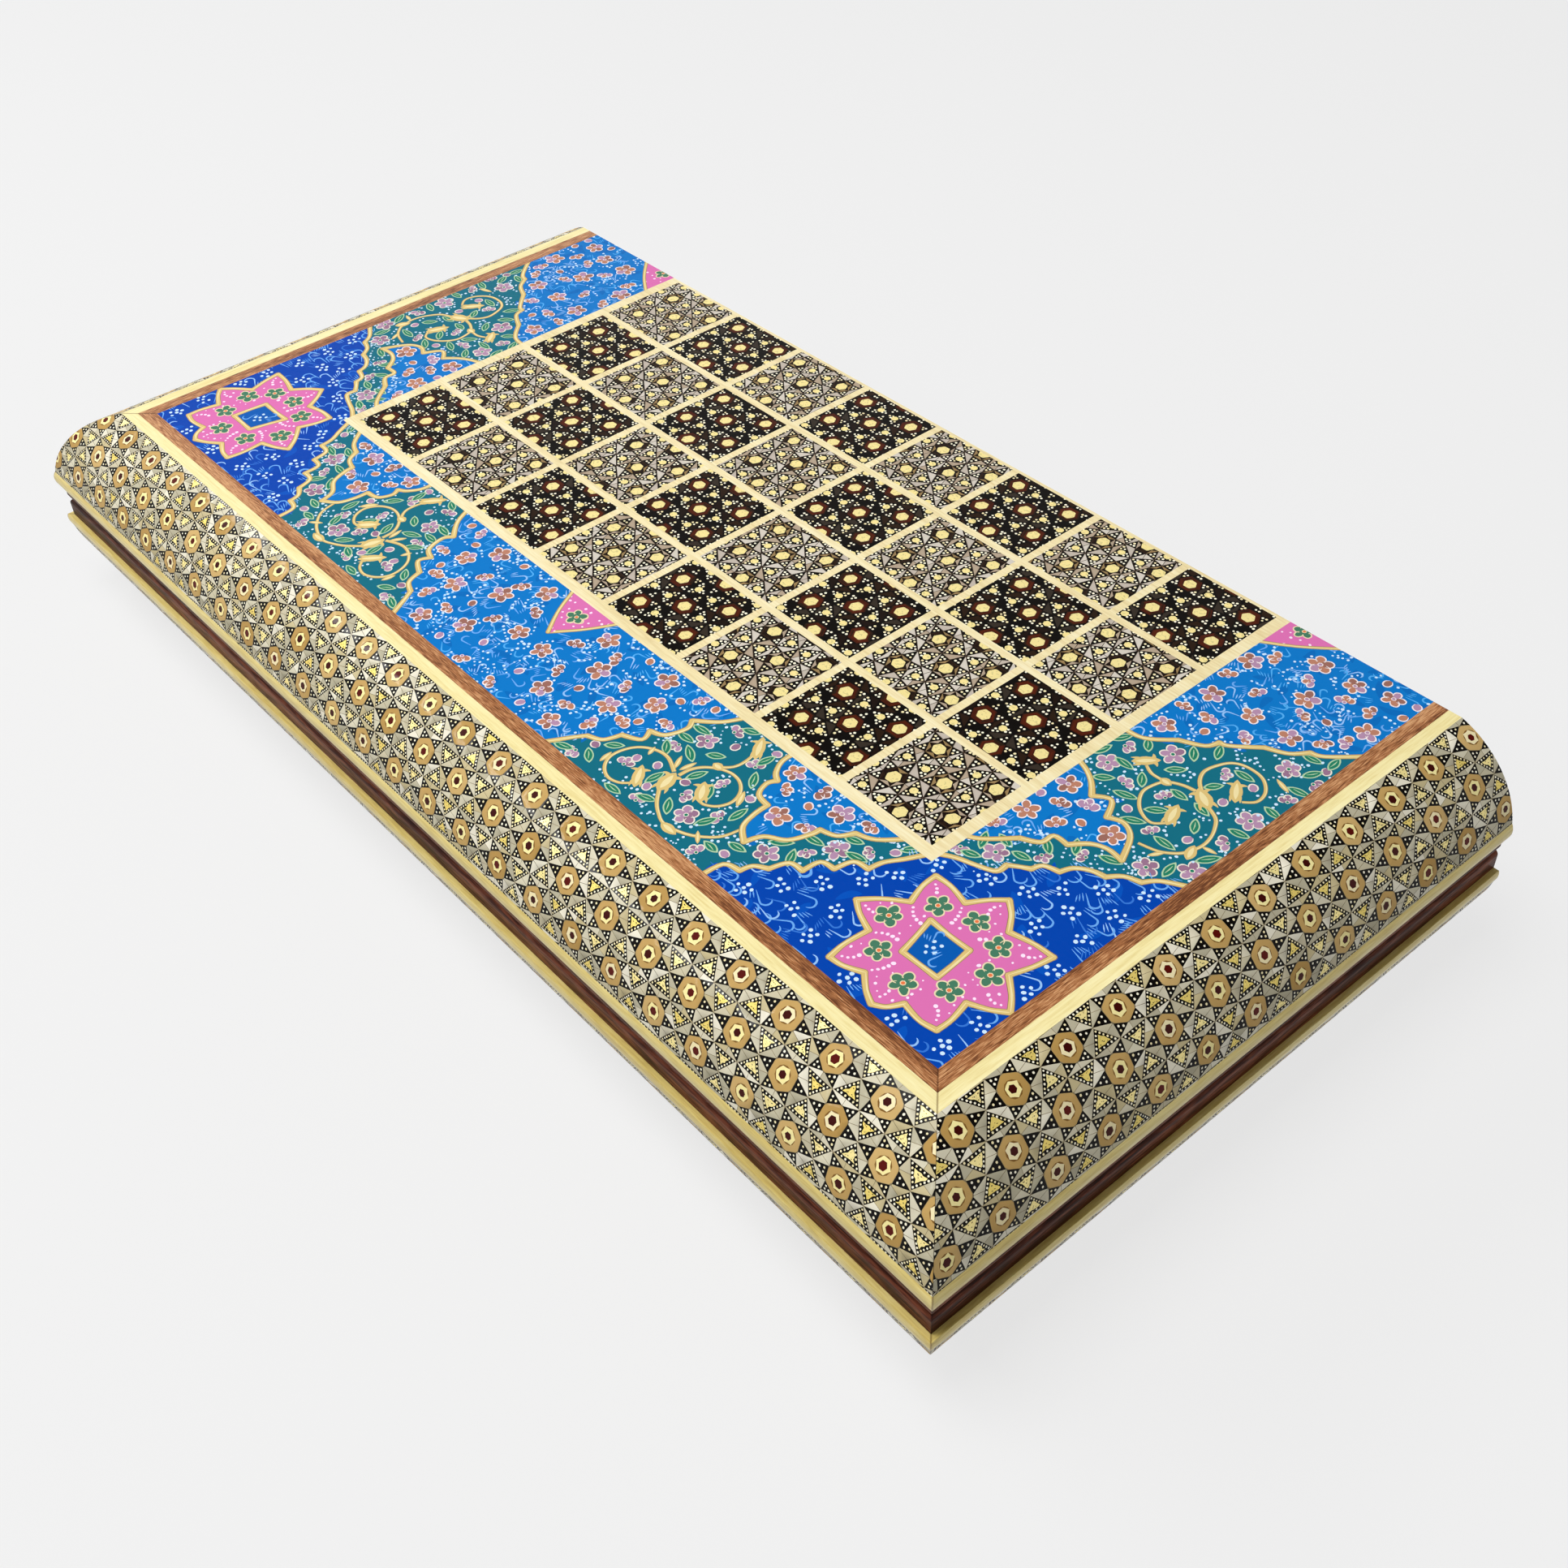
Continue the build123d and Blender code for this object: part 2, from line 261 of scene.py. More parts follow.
def dress_nodes():
    """The plain CAD nodes of both leaves take their woods, and the hinges their brass."""
    rail_colours = ((84, 48, 26), (112, 66, 38), (136, 84, 50))
    rail = wood("rail_wood", rail_colours, 0.45, 0.35)
    looks = {
        "walnut_banding": wood("walnut", ((102, 57, 30), (168, 109, 66), (212, 160, 112)),
                               0.34, 0.35, spread=0.09, fineness=2.0),
        "cream_banding": wood("pale_band_wood", ((232, 214, 146), (244, 230, 168), (250, 240, 186)),
                              0.34, 0.35),
        "chess_stringing": wood("stringing_wood", ((228, 208, 154), (240, 224, 174), (247, 236, 196)),
                                0.34, 0.35, "X"),
        "edge_line": wood("pale_line_wood", ((206, 180, 98), (224, 202, 120), (236, 218, 144)),
                          0.34, 0.35),
        "rim_lip": wood("rosewood", ((38, 12, 4), (74, 32, 16), (124, 66, 42)), 0.4, 0.06,
                        relief=0.3, spread=0.1, gloss=0.06),
        "front_rail": rail, "left_rail": rail, "right_rail": rail,
        "spine_rail": wood("spine_wood", rail_colours, 0.45, 0.35, "X"),
        "core_panel": wood("plywood", ((170, 128, 84), (190, 150, 102), (204, 168, 120)),
                           0.6, 0.0, "X"),
        "backgammon_table": wood("table_wood", ((112, 62, 34), (142, 84, 48), (166, 104, 62)),
                                 0.36, 0.6, "X"),
        "points_light": wood("point_maple", ((206, 172, 112), (226, 196, 138), (236, 212, 160)),
                             0.36, 0.6, "X"),
        "points_dark": wood("point_rosewood", ((30, 14, 8), (52, 24, 14), (78, 40, 26)),
                            0.34, 0.6, "X"),
    }
    brass = brass_material()
    for name, node in frame["nodes"].items():
        look = brass if name.startswith("hinge") else looks.get(name.rsplit("_", 1)[0])
        if look:
            for holder in node.material_slots:
                holder.material = look


# Paints: display colours. The palest gold is a painted highlight on the gold lines, scrolls and blobs.
PAINTS = {
    "joint": (134, 120, 90), "joint_dark": (62, 48, 36), "ebony": (7, 4, 2),
    "ebony_brown": (26, 14, 8), "ivory": (252, 246, 222), "ivory_warm": (246, 232, 184),
    "bone_pale": (232, 226, 206), "bone_light": (214, 207, 182), "bone": (200, 191, 162),
    "bone_warm": (198, 184, 142), "bone_grey": (187, 180, 154), "smoke": (190, 179, 166),
    "smoke_light": (208, 200, 188), "smoke_warm": (176, 158, 136), "brass": (250, 232, 158),
    "brass_deep": (236, 212, 116), "tan": (196, 160, 96), "tan_dark": (184, 147, 82),
    "tan_light": (206, 172, 110), "tan_edge": (128, 90, 40), "cream": (250, 236, 166),
    "red": (88, 14, 6), "red_dark": (62, 9, 5), "khaki": (150, 124, 82), "maroon": (82, 29, 10),
    "maroon_deep": (68, 24, 9), "umber": (40, 24, 12), "slate": (52, 44, 36),
    "backing": (120, 92, 60), "azure": (8, 117, 196), "azure_deep": (6, 105, 184),
    "azure_light": (78, 168, 234), "ultramarine": (0, 66, 170), "ultramarine_soft": (2, 80, 184),
    "ultramarine_light": (52, 116, 208), "teal": (18, 106, 126), "heart_blue": (4, 88, 174),
    "magenta": (218, 112, 176), "gold": (224, 195, 124), "gold_light": (242, 225, 168),
    "gold_edge": (150, 126, 78), "petal": (184, 126, 102), "petal_dark": (152, 104, 92),
    "petal_edge": (238, 228, 228), "lilac": (176, 138, 168), "lilac_dark": (150, 112, 138),
    "lilac_edge": (230, 224, 210), "leaf": (34, 124, 96), "leaf_edge": (172, 204, 164),
    "star_leaf": (70, 122, 96), "star_edge": (232, 216, 176), "orange": (232, 120, 70),
    "dot": (202, 229, 250), "dot_pink": (250, 226, 246), "hook": (104, 166, 234),
    "hook_light": (144, 190, 240)}

# Roughness where it isn't that of most paints, and metallic where it isn't 0
SATIN = 0.4
ROUGHNESS = {
    "joint": 0.5, "joint_dark": 0.5, "ivory": 0.35, "ivory_warm": 0.35, "bone_pale": 0.35,
    "bone_light": 0.35, "bone": 0.38, "bone_warm": 0.38, "brass": 0.3, "brass_deep": 0.32,
    "tan": 0.42, "tan_dark": 0.42, "tan_light": 0.42, "tan_edge": 0.42, "cream": 0.36, "red": 0.35,
    "red_dark": 0.35, "maroon": 0.38, "maroon_deep": 0.38, "backing": 0.6, "gold": 0.36,
    "gold_light": 0.36, "dot": 0.38, "dot_pink": 0.38}
METALLIC = {"brass": 0.2, "brass_deep": 0.2, "gold": 0.1, "gold_light": 0.1}
made_paints = {}


def paint_material(paint):
    if paint not in made_paints:
        made_paints[paint] = inlay_material("inlay_" + paint, PAINTS[paint],
                                            ROUGHNESS.get(paint, SATIN), METALLIC.get(paint, 0.0))
    return made_paints[paint]


def new_object(name, data):
    """An object in the scene."""
    made = bpy.data.objects.new(name, data)
    bpy.context.scene.collection.objects.link(made)
    return made


# Plane shapes

def ring(x, y, radius, count, turn=0.0, squash=1.0):
    """A regular polygon, flattened in y by squash."""
    step = 2 * math.pi / count
    return [(x + radius * math.cos(turn + i * step), y + radius * squash * math.sin(turn + i * step))
            for i in range(count)]


def polar(x, y, reach, turn):
    """The place at a distance in a direction."""
    return (x + reach * math.cos(turn), y + reach * math.sin(turn))


def turned(x, y, along, aside, turn):
    """The place along a direction and to its left."""
    c, s = math.cos(turn), math.sin(turn)
    return (x + along * c - aside * s, y + along * s + aside * c)


def between(a, b, t):
    return (a[0] + (b[0] - a[0]) * t, a[1] + (b[1] - a[1]) * t)


def sides(points):
    """Each point of an outline with the next one."""
    return zip(points, points[1:] + points[:1])


def corners_of(points):
    """Each point of an outline between the one before and the one after."""
    return zip(points[-1:] + points[:-1], points, points[1:] + points[:1])


def middle(points):
    return (sum(p[0] for p in points) / len(points), sum(p[1] for p in points) / len(points))


def area(points):
    return sum(a[0] * b[1] - b[0] * a[1] for a, b in sides(points)) / 2


def inset(points, distance):
    """A convex outline with every side moved in."""
    if area(points) < 0:
        points = points[::-1]
    moved = []
    for before, here, after in corners_of(points):
        u = Vector((here[0] - before[0], here[1] - before[1])).normalized()
        w = Vector((after[0] - here[0], after[1] - here[1])).normalized()
        inward = Vector((-u.y - w.y, u.x + w.x)).normalized()
        reach = distance / max(0.3, inward.dot(Vector((-u.y, u.x))))
        moved.append((here[0] + inward.x * reach, here[1] + inward.y * reach))
    return moved


# Closed bodies with a pattern on their face

def cut(outline, shapes, ground):
    """Triangles of an outline, each with the paint of the last shape that covers it."""
    lows = [min(p[i] for p in outline) for i in (0, 1)]
    highs = [max(p[i] for p in outline) for i in (0, 1)]
    outlines = [outline]
    paints = [ground]
    for shape, paint in shapes:
        xs = [p[0] for p in shape]
        ys = [p[1] for p in shape]
        if max(xs) > lows[0] and min(xs) < highs[0] and max(ys) > lows[1] and min(ys) < highs[1]:
            outlines.append(shape)
            paints.append(paint)
    points = []
    faces = []
    for shape in outlines:
        if area(shape) < 0:
            shape = shape[::-1]
        faces.append(range(len(points), len(points) + len(shape)))
        points.extend(Vector(p) for p in shape)
    made, _, triangles, _, _, origin = delaunay_2d_cdt(points, [], faces, 1, 1e-4)
    inside = [(t, paints[max(o)]) for t, o in zip(triangles, origin) if 0 in o]
    return made, [t for t, _ in inside], [p for _, p in inside]


def rim(triangles):
    """The outer loop of a set of triangles, as point numbers in order."""
    edges = {e for a, b, c in triangles for e in ((a, b), (b, c), (c, a))}
    follow = {a: b for a, b in edges if (b, a) not in edges}
    loop = [min(follow)]
    while follow[loop[-1]] != loop[0]:
        loop.append(follow[loop[-1]])
    return loop


class Body:
    """A mesh in the part's space, built from patterned solids."""

    def __init__(self, rounded=False):
        self.points = []
        self.faces = []
        self.paints = []
        self.smooth = []
        self.rounded = rounded

    def add(self, outline, shapes, ground, place, thickness, inner=()):
        """One solid: the pattern at depth 0, sides, and a back with inner as extra points.
        place(x, y, depth) gives a point of the part in metres."""
        points, triangles, paints = cut(outline, shapes, ground)
        loop = rim(triangles)
        start = len(self.points)
        self.points += [place(p[0], p[1], 0.0) for p in points]
        self.extend([[start + i for i in t] for t in triangles], paints, self.rounded)
        edge = [points[i] for i in loop]
        back, _, behind, where, _, _ = delaunay_2d_cdt(
            edge + [Vector(p) for p in inner], [], [range(len(edge))], 1, 1e-6)
        base = len(self.points)
        self.points += [place(p[0], p[1], thickness) for p in back]
        self.extend([[base + i for i in reversed(t)] for t in behind], ["backing"] * len(behind), False)
        number = {old: new for new, olds in enumerate(where) for old in olds}
        sides = []
        for i in range(len(loop)):
            j = (i + 1) % len(loop)
            sides.append([start + loop[j], start + loop[i], base + number[i], base + number[j]])
        self.extend(sides, ["backing"] * len(sides), False)

    def extend(self, faces, paints, smooth):
        self.faces += faces
        self.paints += paints
        self.smooth += [smooth] * len(faces)

    def pieces(self, name, nodes):
        """An object on each leaf, standing for the nodes of that leaf."""
        used = sorted(set(self.paints))
        mesh = bpy.data.meshes.new(name)
        mesh.from_pydata(self.points, [], self.faces)
        for paint in used:
            mesh.materials.append(paint_material(paint))
        mesh.polygons.foreach_set("material_index", [used.index(p) for p in self.paints])
        mesh.polygons.foreach_set("use_smooth", self.smooth)
        bm = bmesh.new()
        bm.from_mesh(mesh)
        bmesh.ops.delete(bm, geom=[v for v in bm.verts if not v.link_faces], context="VERTS")
        bmesh.ops.recalc_face_normals(bm, faces=bm.faces)
        for edge in bm.edges:
            if len({face.smooth for face in edge.link_faces}) == 2:
                edge.smooth = False
        bm.to_mesh(mesh)
        bm.free()
        for leaf, body, turn in LEAVES:
            own = mesh if leaf == "upper" else mesh.copy()
            own.transform(turn)
            piece = new_object(f"{name}_{leaf}", own)
            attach(piece, body)
            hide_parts(*[f"{node}_{leaf}" for node in nodes])


def flat_place(x, y, depth):
    return (x * MM, spine_y + y * MM, face_z - depth * MM)


# Star mosaic

# By look: radius of a star's hexagon, share of a field that its dotted triangle takes, and
# radius of a dot
LOOKS = {"moulding": (5.0, 0.92, 0.37), "light": (4.5, 0.95, 0.47), "dark": (4.5, 0.95, 0.47)}
RING_SHADES = {"light": ("khaki", "smoke_warm", "khaki", "smoke_warm", "umber"),
               "dark": ("maroon", "maroon", "maroon_deep", "umber")}
BONES = {"moulding": ("bone", "bone_light", "bone_light", "bone_pale", "bone_grey", "bone_grey",
                      "bone_warm"),
         "light": ("smoke", "smoke", "smoke_light", "smoke_light", "smoke_warm"),
         "dark": ("ebony", "ebony", "umber", "slate", "ebony_brown")}
IVORY = ("ivory", "ivory", "ivory_warm")


def rounded_dot(x, y, radius, rng):
    size = radius * rng.uniform(0.88, 1.12)
    x, y = x + rng.uniform(-0.05, 0.05), y + rng.uniform(-0.05, 0.05)
    return ring(x, y, size, 6, rng.uniform(0, 1.05))


def scaled(points, centre, share, rng, loose=0.05):
    """An outline drawn in towards a centre, its corners a little off."""
    return [between(centre, p, share * rng.uniform(1 - loose, 1 + loose)) for p in points]


def blunted(points, cut=0.14):
    """An outline with its corners cut off."""
    return [between(here, other, cut) for before, here, after in corners_of(points)
            for other in (before, after)]


def star(shapes, centre, hexagon, tips, look, rng):
    """A star's hexagon and the six dotted triangles round it."""
    if look == "moulding":
        tan = rng.choice(("tan", "tan", "tan_dark", "tan_light"))
        shapes.append((blunted(scaled(hexagon, centre, 0.98, rng, 0.02)), tan))
        lobes = []
        for i, point in enumerate(ring(*centre, 1.0, 12, rng.uniform(0, 0.5))):
            lobes.append(between(centre, point, (2.5 if i % 2 else 2.1) * rng.uniform(0.93, 1.07)))
        shapes.append((ring(*centre, 2.6, 12), "tan_edge"))
        shapes.append((lobes, rng.choice(("cream", "cream", "ivory_warm"))))
        heart = (centre[0] + rng.uniform(-0.15, 0.15), centre[1] + rng.uniform(-0.15, 0.15))
        shapes.append((ring(*heart, rng.uniform(1.2, 1.45), 6, rng.uniform(0, 1.05)),
                       rng.choice(("red", "red_dark", "red_dark"))))
    else:
        shapes.append((scaled(hexagon, centre, 0.96, rng), "ebony_brown"))
        for start, end in sides(hexagon):
            if look == "light":
                inward = between(start, end, rng.uniform(0.35, 0.65))
                wedge = [between(centre, start, 0.96), between(centre, end, 0.96),
                         between(centre, inward, rng.uniform(0.62, 0.72))]
            else:
                shapes.append(([centre, start, end], rng.choice(("maroon_deep", "umber"))))
                wedge = [centre, between(centre, start, rng.uniform(0.82, 0.9)),
                         between(centre, end, rng.uniform(0.82, 0.9))]
            shapes.append((wedge, rng.choice(RING_SHADES[look])))
        if look == "dark":
            shapes.append((scaled(hexagon, centre, 0.72, rng),
                           rng.choice(("maroon_deep", "maroon_deep", "maroon"))))
        shapes.append((blunted(scaled(hexagon, centre, 0.57, rng), 0.1), "brass"))
    for k, tip in enumerate(tips):
        start, end = hexagon[k - 1], hexagon[k]
        corners = [between(start, end, 0.04), between(start, end, 0.96), between(centre, tip, 0.98)]
        shapes.append((corners, "ebony"))
        mid = middle(corners)
        for corner in corners:
            dot_place = between(mid, corner, 0.32)
            shapes.append((rounded_dot(*dot_place, LOOKS[look][2], rng), rng.choice(IVORY)))


def bone_field(shapes, centre, notches, tips, look, rng):
    """The bone pieces between three stars, round a dotted triangle.
    notches are the three stars' nearest corners with the two points beside each."""
    triangle = [between(centre, tip, LOOKS[look][1]) for tip in tips]
    for i, (left, notch, right) in enumerate(notches):
        bone = rng.choice(BONES[look])
        if look == "moulding":
            other = bone if rng.random() < 0.45 else rng.choice(BONES[look])
            before, after = triangle[i - 1], triangle[i]
            side = between(before, after, 0.5)
            shapes.append((inset([tips[i - 1], left, notch, side, before], JOINT), bone))
            shapes.append((inset([notch, right, tips[i], after, side], JOINT), other))
        elif look == "light" and rng.random() < 0.4:
            base = between(tips[i - 1], tips[i], 0.5)
            shapes.append((inset([tips[i - 1], notch, base], 1.5 * JOINT), bone))
            shapes.append((inset([notch, tips[i], base], 1.5 * JOINT), rng.choice(BONES[look])))
        else:
            shapes.append((inset([tips[i - 1], notch, tips[i]], 2 * JOINT), bone))
    shapes.append((triangle, "ebony"))
    if look == "moulding":
        inlay = inset(triangle, 1.12)
        edge = []
        for (a, b), (c, d) in zip(sides(inset(triangle, 0.52)), sides(inlay)):
            for step in range(5):
                dot_place = between(a, b, step / 5)
                shapes.append((rounded_dot(*dot_place, 0.33, rng), rng.choice((*IVORY, "ivory_warm"))))
            edge += [c] + [between(between(c, d, t), centre, rng.uniform(-0.25, 0.3))
                           for t in (0.25, 0.5, 0.75)]
        shapes.append((edge, rng.choice(("brass", "brass", "brass_deep"))))
        for corner in inlay + inlay[:2]:
            place = between(centre, corner, rng.uniform(0.1, 0.6))
            grain = ring(*place, rng.uniform(0.16, 0.3), 4, rng.uniform(0, 1.57), 0.6)
            shapes.append((grain, rng.choice(("umber", "umber", "tan_edge"))))
    else:
        for corner in triangle:
            out = math.atan2(corner[1] - centre[1], corner[0] - centre[0])
            for dot_place in ring(*between(centre, corner, 0.53), 0.8, 3, out):
                shapes.append((rounded_dot(*dot_place, 0.46, rng), rng.choice(IVORY)))
        shapes.append((ring(*centre, 1.45, 7, rng.uniform(0, 1)), "brass"))


def lay_stars(bounds, origin, step, row, look, rng, upright=False):
    """Stars over a rectangle, in rows along x, or along y where upright."""
    shapes = []
    x0, x1, y0, y1 = bounds
    phase = rng.uniform(0, 6.28)

    def at(along, across):
        """A place in the pattern, a little off as hand-cut work is."""
        along, across = (along + WANDER * math.sin(0.31 * across + 0.17 * along + phase),
                         across + WANDER * math.sin(0.23 * along - 0.19 * across + 2 * phase))
        if upright:
            along, across = across, along
        return (origin[0] + along, origin[1] + across)

    def near(point, margin):
        return x0 - margin < point[0] < x1 + margin and y0 - margin < point[1] < y1 + margin

    corners = ring(0, 0, LOOKS[look][0], 6, math.pi / 6, 0.95)
    half = [(step / 2, 0), (step / 4, row / 2), (-step / 4, row / 2)]
    tips = half + [(-a, -b) for a, b in half]
    reach = max(x1 - x0, y1 - y0) + 2 * step
    span_long = int(reach / step) + 2
    span_rows = int(reach / row) + 2
    for j in range(-span_rows, span_rows + 1):
        for i in range(-span_long, span_long + 1):
            a = i * step + (j % 2) * step / 2
            b = j * row
            if near(at(a, b), step / 2):
                star(shapes, at(a, b), [at(a + p, b + q) for p, q in corners],
                     [at(a + p, b + q) for p, q in tips], look, rng)
            # The fields above and below the line from this star to the next
            for up in (1, -1):
                ca, cb = a + step / 2, b + up * row / 3
                if not near(at(ca, cb), step / 2):
                    continue
                # The stars round the field in order, with the corner that each turns to it
                around = [((a + step, b), 2 if up > 0 else 3),
                          ((a + step / 2, b + up * row), 4 if up > 0 else 1),
                          ((a, b), 0 if up > 0 else 5)]
                if up < 0:
                    around = around[::-1]
                notches = []
                ends = []
                for (sa, sb), q in around:
                    own = [(sa + p, sb + r) for p, r in corners]
                    left = between(own[q], own[(q + 1) % 6], 0.1)
                    right = between(own[q], own[q - 1], 0.1)
                    notches.append([at(*left), at(*own[q]), at(*right)])
                    ends.append(at(sa + tips[q][0], sb + tips[q][1]))
                bone_field(shapes, at(ca, cb), notches, ends, look, rng)
    return shapes


# Mouldings

def arc_centre():
    """The moulding's curve in section: out from the flat face's edge, and height from the face."""
    chord = math.hypot(ARC_WIDTH, ARC_DROP)
    radius = (chord ** 2 / 4 + ARC_BULGE ** 2) / (2 * ARC_BULGE)
    drop = radius - ARC_BULGE
    return (ARC_WIDTH / 2 - drop * ARC_DROP / chord, -ARC_DROP / 2 - drop * ARC_WIDTH / chord, radius)


ARC_OUT, ARC_UP, ARC_RADIUS = arc_centre()
ARC_START = math.atan2(-ARC_UP, -ARC_OUT)
ARC_LENGTH = ARC_RADIUS * (ARC_START - math.atan2(-ARC_DROP - ARC_UP, ARC_WIDTH - ARC_OUT))


def on_arc(length, depth):
    """How far out and how far up a point of the skin is, by its length down the curve."""
    angle = ARC_START - length / ARC_RADIUS
    out = ARC_OUT + (ARC_RADIUS - depth) * math.cos(angle)
    up = ARC_UP + (ARC_RADIUS - depth) * math.sin(angle)
    return max(out, 0.0), max(up, -ARC_DROP)


def front_place(x, length, depth):
    out, up = on_arc(length, depth)
    stretch = (EDGE_X + out) / (EDGE_X + on_arc(length, 0)[0])
    return (x * stretch * MM, spine_y - (EDGE_Y + out) * MM, face_z + up * MM)


def end_place(side):
    def place(y, length, depth):
        out, up = on_arc(length, depth)
        stretch = (EDGE_Y + out) / (EDGE_Y + on_arc(length, 0)[0])
        return (side * (EDGE_X + out) * MM, spine_y + y * stretch * MM, face_z + up * MM)
    return place


def moulding(name, start, end, origin, step, place, rng):
    """A skin whose ends run from start(length) to end(length) down the curve."""
    steps = 16
    lengths = [ARC_LENGTH * i / steps for i in range(steps + 1)]
    outline = [(start(s), s) for s in reversed(lengths)] + [(end(s), s) for s in lengths]
    low = min(p[0] for p in outline)
    high = max(p[0] for p in outline)
    shapes = lay_stars((low, high, 0, ARC_LENGTH), origin, step, MOULDING_ROW, "moulding", rng)
    inner = [(x, s) for s in lengths[1:-1] for x in range(int(start(s)) + 4, int(end(s)) - 3, BACK_STEP)]
    body = Body(rounded=True)
    body.add(outline, shapes, "joint", place, SKIN, inner)
    body.pieces("star_moulding_" + name, ["inlaid_moulding_" + name])


def make_mouldings():
    rng = random.Random(11)

    def front_end(length):
        return EDGE_X + on_arc(length, 0)[0] - MITRE_GAP

    def corner_end(length):
        return -EDGE_Y - on_arc(length, 0)[0] + MITRE_GAP

    moulding("front", lambda s: -front_end(s), front_end, FRONT_STAR, FRONT_STEP, front_place, rng)
    for name, side in (("right", 1), ("left", -1)):
        moulding(name, corner_end, lambda s: -HALF_GAP, END_STAR, END_STEP, end_place(side), rng)


# Chess squares

def make_plaques():
    rng = random.Random(5)
    half = (PITCH - STRING) / 2
    for parity, look in enumerate(("light", "dark")):
        body = Body()
        for u in range(SQUARES_LONG):
            for v in range(SQUARES_ACROSS):
                if (u + v) % 2 != parity:
                    continue
                x = FIELD_X - (u + 0.5) * PITCH
                y = -FIELD_Y + (v + 0.5) * PITCH
                x0, x1, y0, y1 = bounds = (x - half, x + half, y - half, y + half)
                origin = (x + rng.uniform(-1, 4), y + rng.uniform(-1, 4))
                shapes = lay_stars(bounds, origin, PLAQUE_STEP, PLAQUE_ROW, look, rng, upright=True)
                body.add([(x0, y0), (x1, y0), (x1, y1), (x0, y1)], shapes,
                         "joint_dark" if look == "light" else "ebony", flat_place, FACING)
        body.pieces(f"star_squares_{look}", [f"chess_{look}_squares"])


# Painted border: scalloped fields of flowers in azure, bands of leaves and gold scrolls in
# teal, and a star in each corner. One half is drawn, x positive, and turned over for the other.
# A gold line is a list of arcs that meet at cusps.

def arcs_from(start, *arcs):
    """The arcs of a line, each from where the last one ends."""
    starts = [start] + [arc[-1] for arc in arcs]
    return [[first, *arc] for first, arc in zip(starts, arcs)]


FRONT_FIELD_LINE = arcs_from(
    (77.5, -157), [(73, -165), (66.5, -171.5)], [(68.2, -175), (66, -182), (61.5, -184)],
    [(63, -188), (57, -191.5)], [(55, -197), (50, -199.5)], [(48, -203), (43, -211.5)])
FRONT_SHIELD_LINE = arcs_from(
    (99.5, -156), [(99.5, -163), (102, -168), (105, -170)],
    [(103.5, -173), (106, -178), (111, -179)], [(111, -184), (113, -190), (118, -193.8)],
    [(120, -188), (126, -184), (128.5, -178), (129, -174.5)], [(134, -172.5), (137, -168)],
    [(143, -165), (150.5, -156.5)])
CORNER_LINE = arcs_from(
    (120, -212), [(121, -204), (126, -202)], [(127, -198), (131, -195.5)],
    [(133, -190), (138, -189)], [(139, -183), (143.5, -182)], [(145, -176), (150, -175)],
    [(151, -170), (154, -165), (158, -157)],
    [(163.3, -154), (169.7, -151.5), (174.7, -149), (175.1, -145.4)],
    [(178.3, -143), (180.8, -141.5)], [(181.9, -138), (186.9, -136.5)],
    [(188.6, -132.6), (192.6, -129.7), (196.9, -128.6)], [(200, -124.7), (205, -122.9)],
    [(208, -118.6), (216, -114)])
END_SHIELD_LINE = arcs_from(
    (156, -97.5), [(163, -99.5), (168, -103), (172, -107)], [(177, -104), (181, -110.5)],
    [(186, -108.5), (191, -112), (195.5, -120.5)], [(190, -120), (185, -122), (181, -127)],
    [(176, -127), (175, -132), (170, -135)], [(163, -143), (156, -147)])
END_FIELD_LINE = arcs_from(
    (216, -34.5), [(207, -44), (203, -46)], [(199, -51), (192.5, -54)], [(185, -61), (182, -62)],
    [(180, -66), (173, -70)], [(165, -77), (156, -78)])
FRONT_MIDDLE_LINE = arcs_from((13.5, -157), [(7, -169), (0, -178.5)])
END_MIDDLE_LINE = arcs_from((181, 2), [(169, -9), (156, -17.5)])
STAR_TIPS = [
    (185, -154.6), (164.7, -162.9), (156.5, -185.4), (167.2, -205), (186.9, -207.9),
    (204.7, -201.4), (213.3, -183.2), (207.6, -161)]
STAR_NOTCHES = [
    (177.6, -164.3), (167.2, -175), (167.2, -190.7), (177.6, -201.8), (192.6, -201.4),
    (203.3, -189.3), (204, -174.3), (193.3, -163.2)]
STAR_HEART = [(175.8, -175.7), (179, -189.3), (191.9, -188.9), (190.8, -175.7)]

# Flowers: whole ones, ones seen from the side, and buds
FIELD_BLOOMS = [
    (17, -166.5), (46.5, -165.5), (27.5, -178), (53, -175), (6.5, -185.5), (43, -186),
    (22, -196.5), (36.5, -204), (209, -26.4), (205, -7.9), (194.7, -45), (193.3, -11.4),
    (187.2, -27.1), (180.8, -45), (179.7, -10.7), (166.1, -46), (165.4, -67.5), (164, -25),
    (106, -164), (128.5, -165.5), (116.5, -179.5), (186.5, -115), (164, -108.3), (163.3, -125.1)]
FIELD_SIDES = [
    (27.5, -170), (60, -163), (12, -176.5), (40.5, -176), (62.5, -177), (19.5, -187), (52, -189),
    (33.5, -194.5), (44.5, -195.5), (9, -206), (208.6, -34.3), (205, -17.9), (202.2, -39.3),
    (195.8, -20), (190.4, -35), (184.7, -55.7), (182.9, -18.6), (176.1, -36), (172.6, -54.3),
    (169.4, -17.9), (164, -36), (164, -57.9), (117, -163.5), (138, -162), (109, -171.5),
    (125, -176), (174.4, -111.9), (173.6, -123.6), (168.3, -116.9), (161.9, -136.1)]
FIELD_BUDS = [
    (35, -163.5), (67.5, -163), (57, -168.5), (30, -188), (55.5, -184), (10, -197), (23, -205.5),
    (212.2, -6.1), (212.2, -13.2), (199.4, -3.2), (197.9, -31.4), (175.8, -61.4), (119.5, -170.5),
    (177.6, -117.6), (161.1, -116.9)]
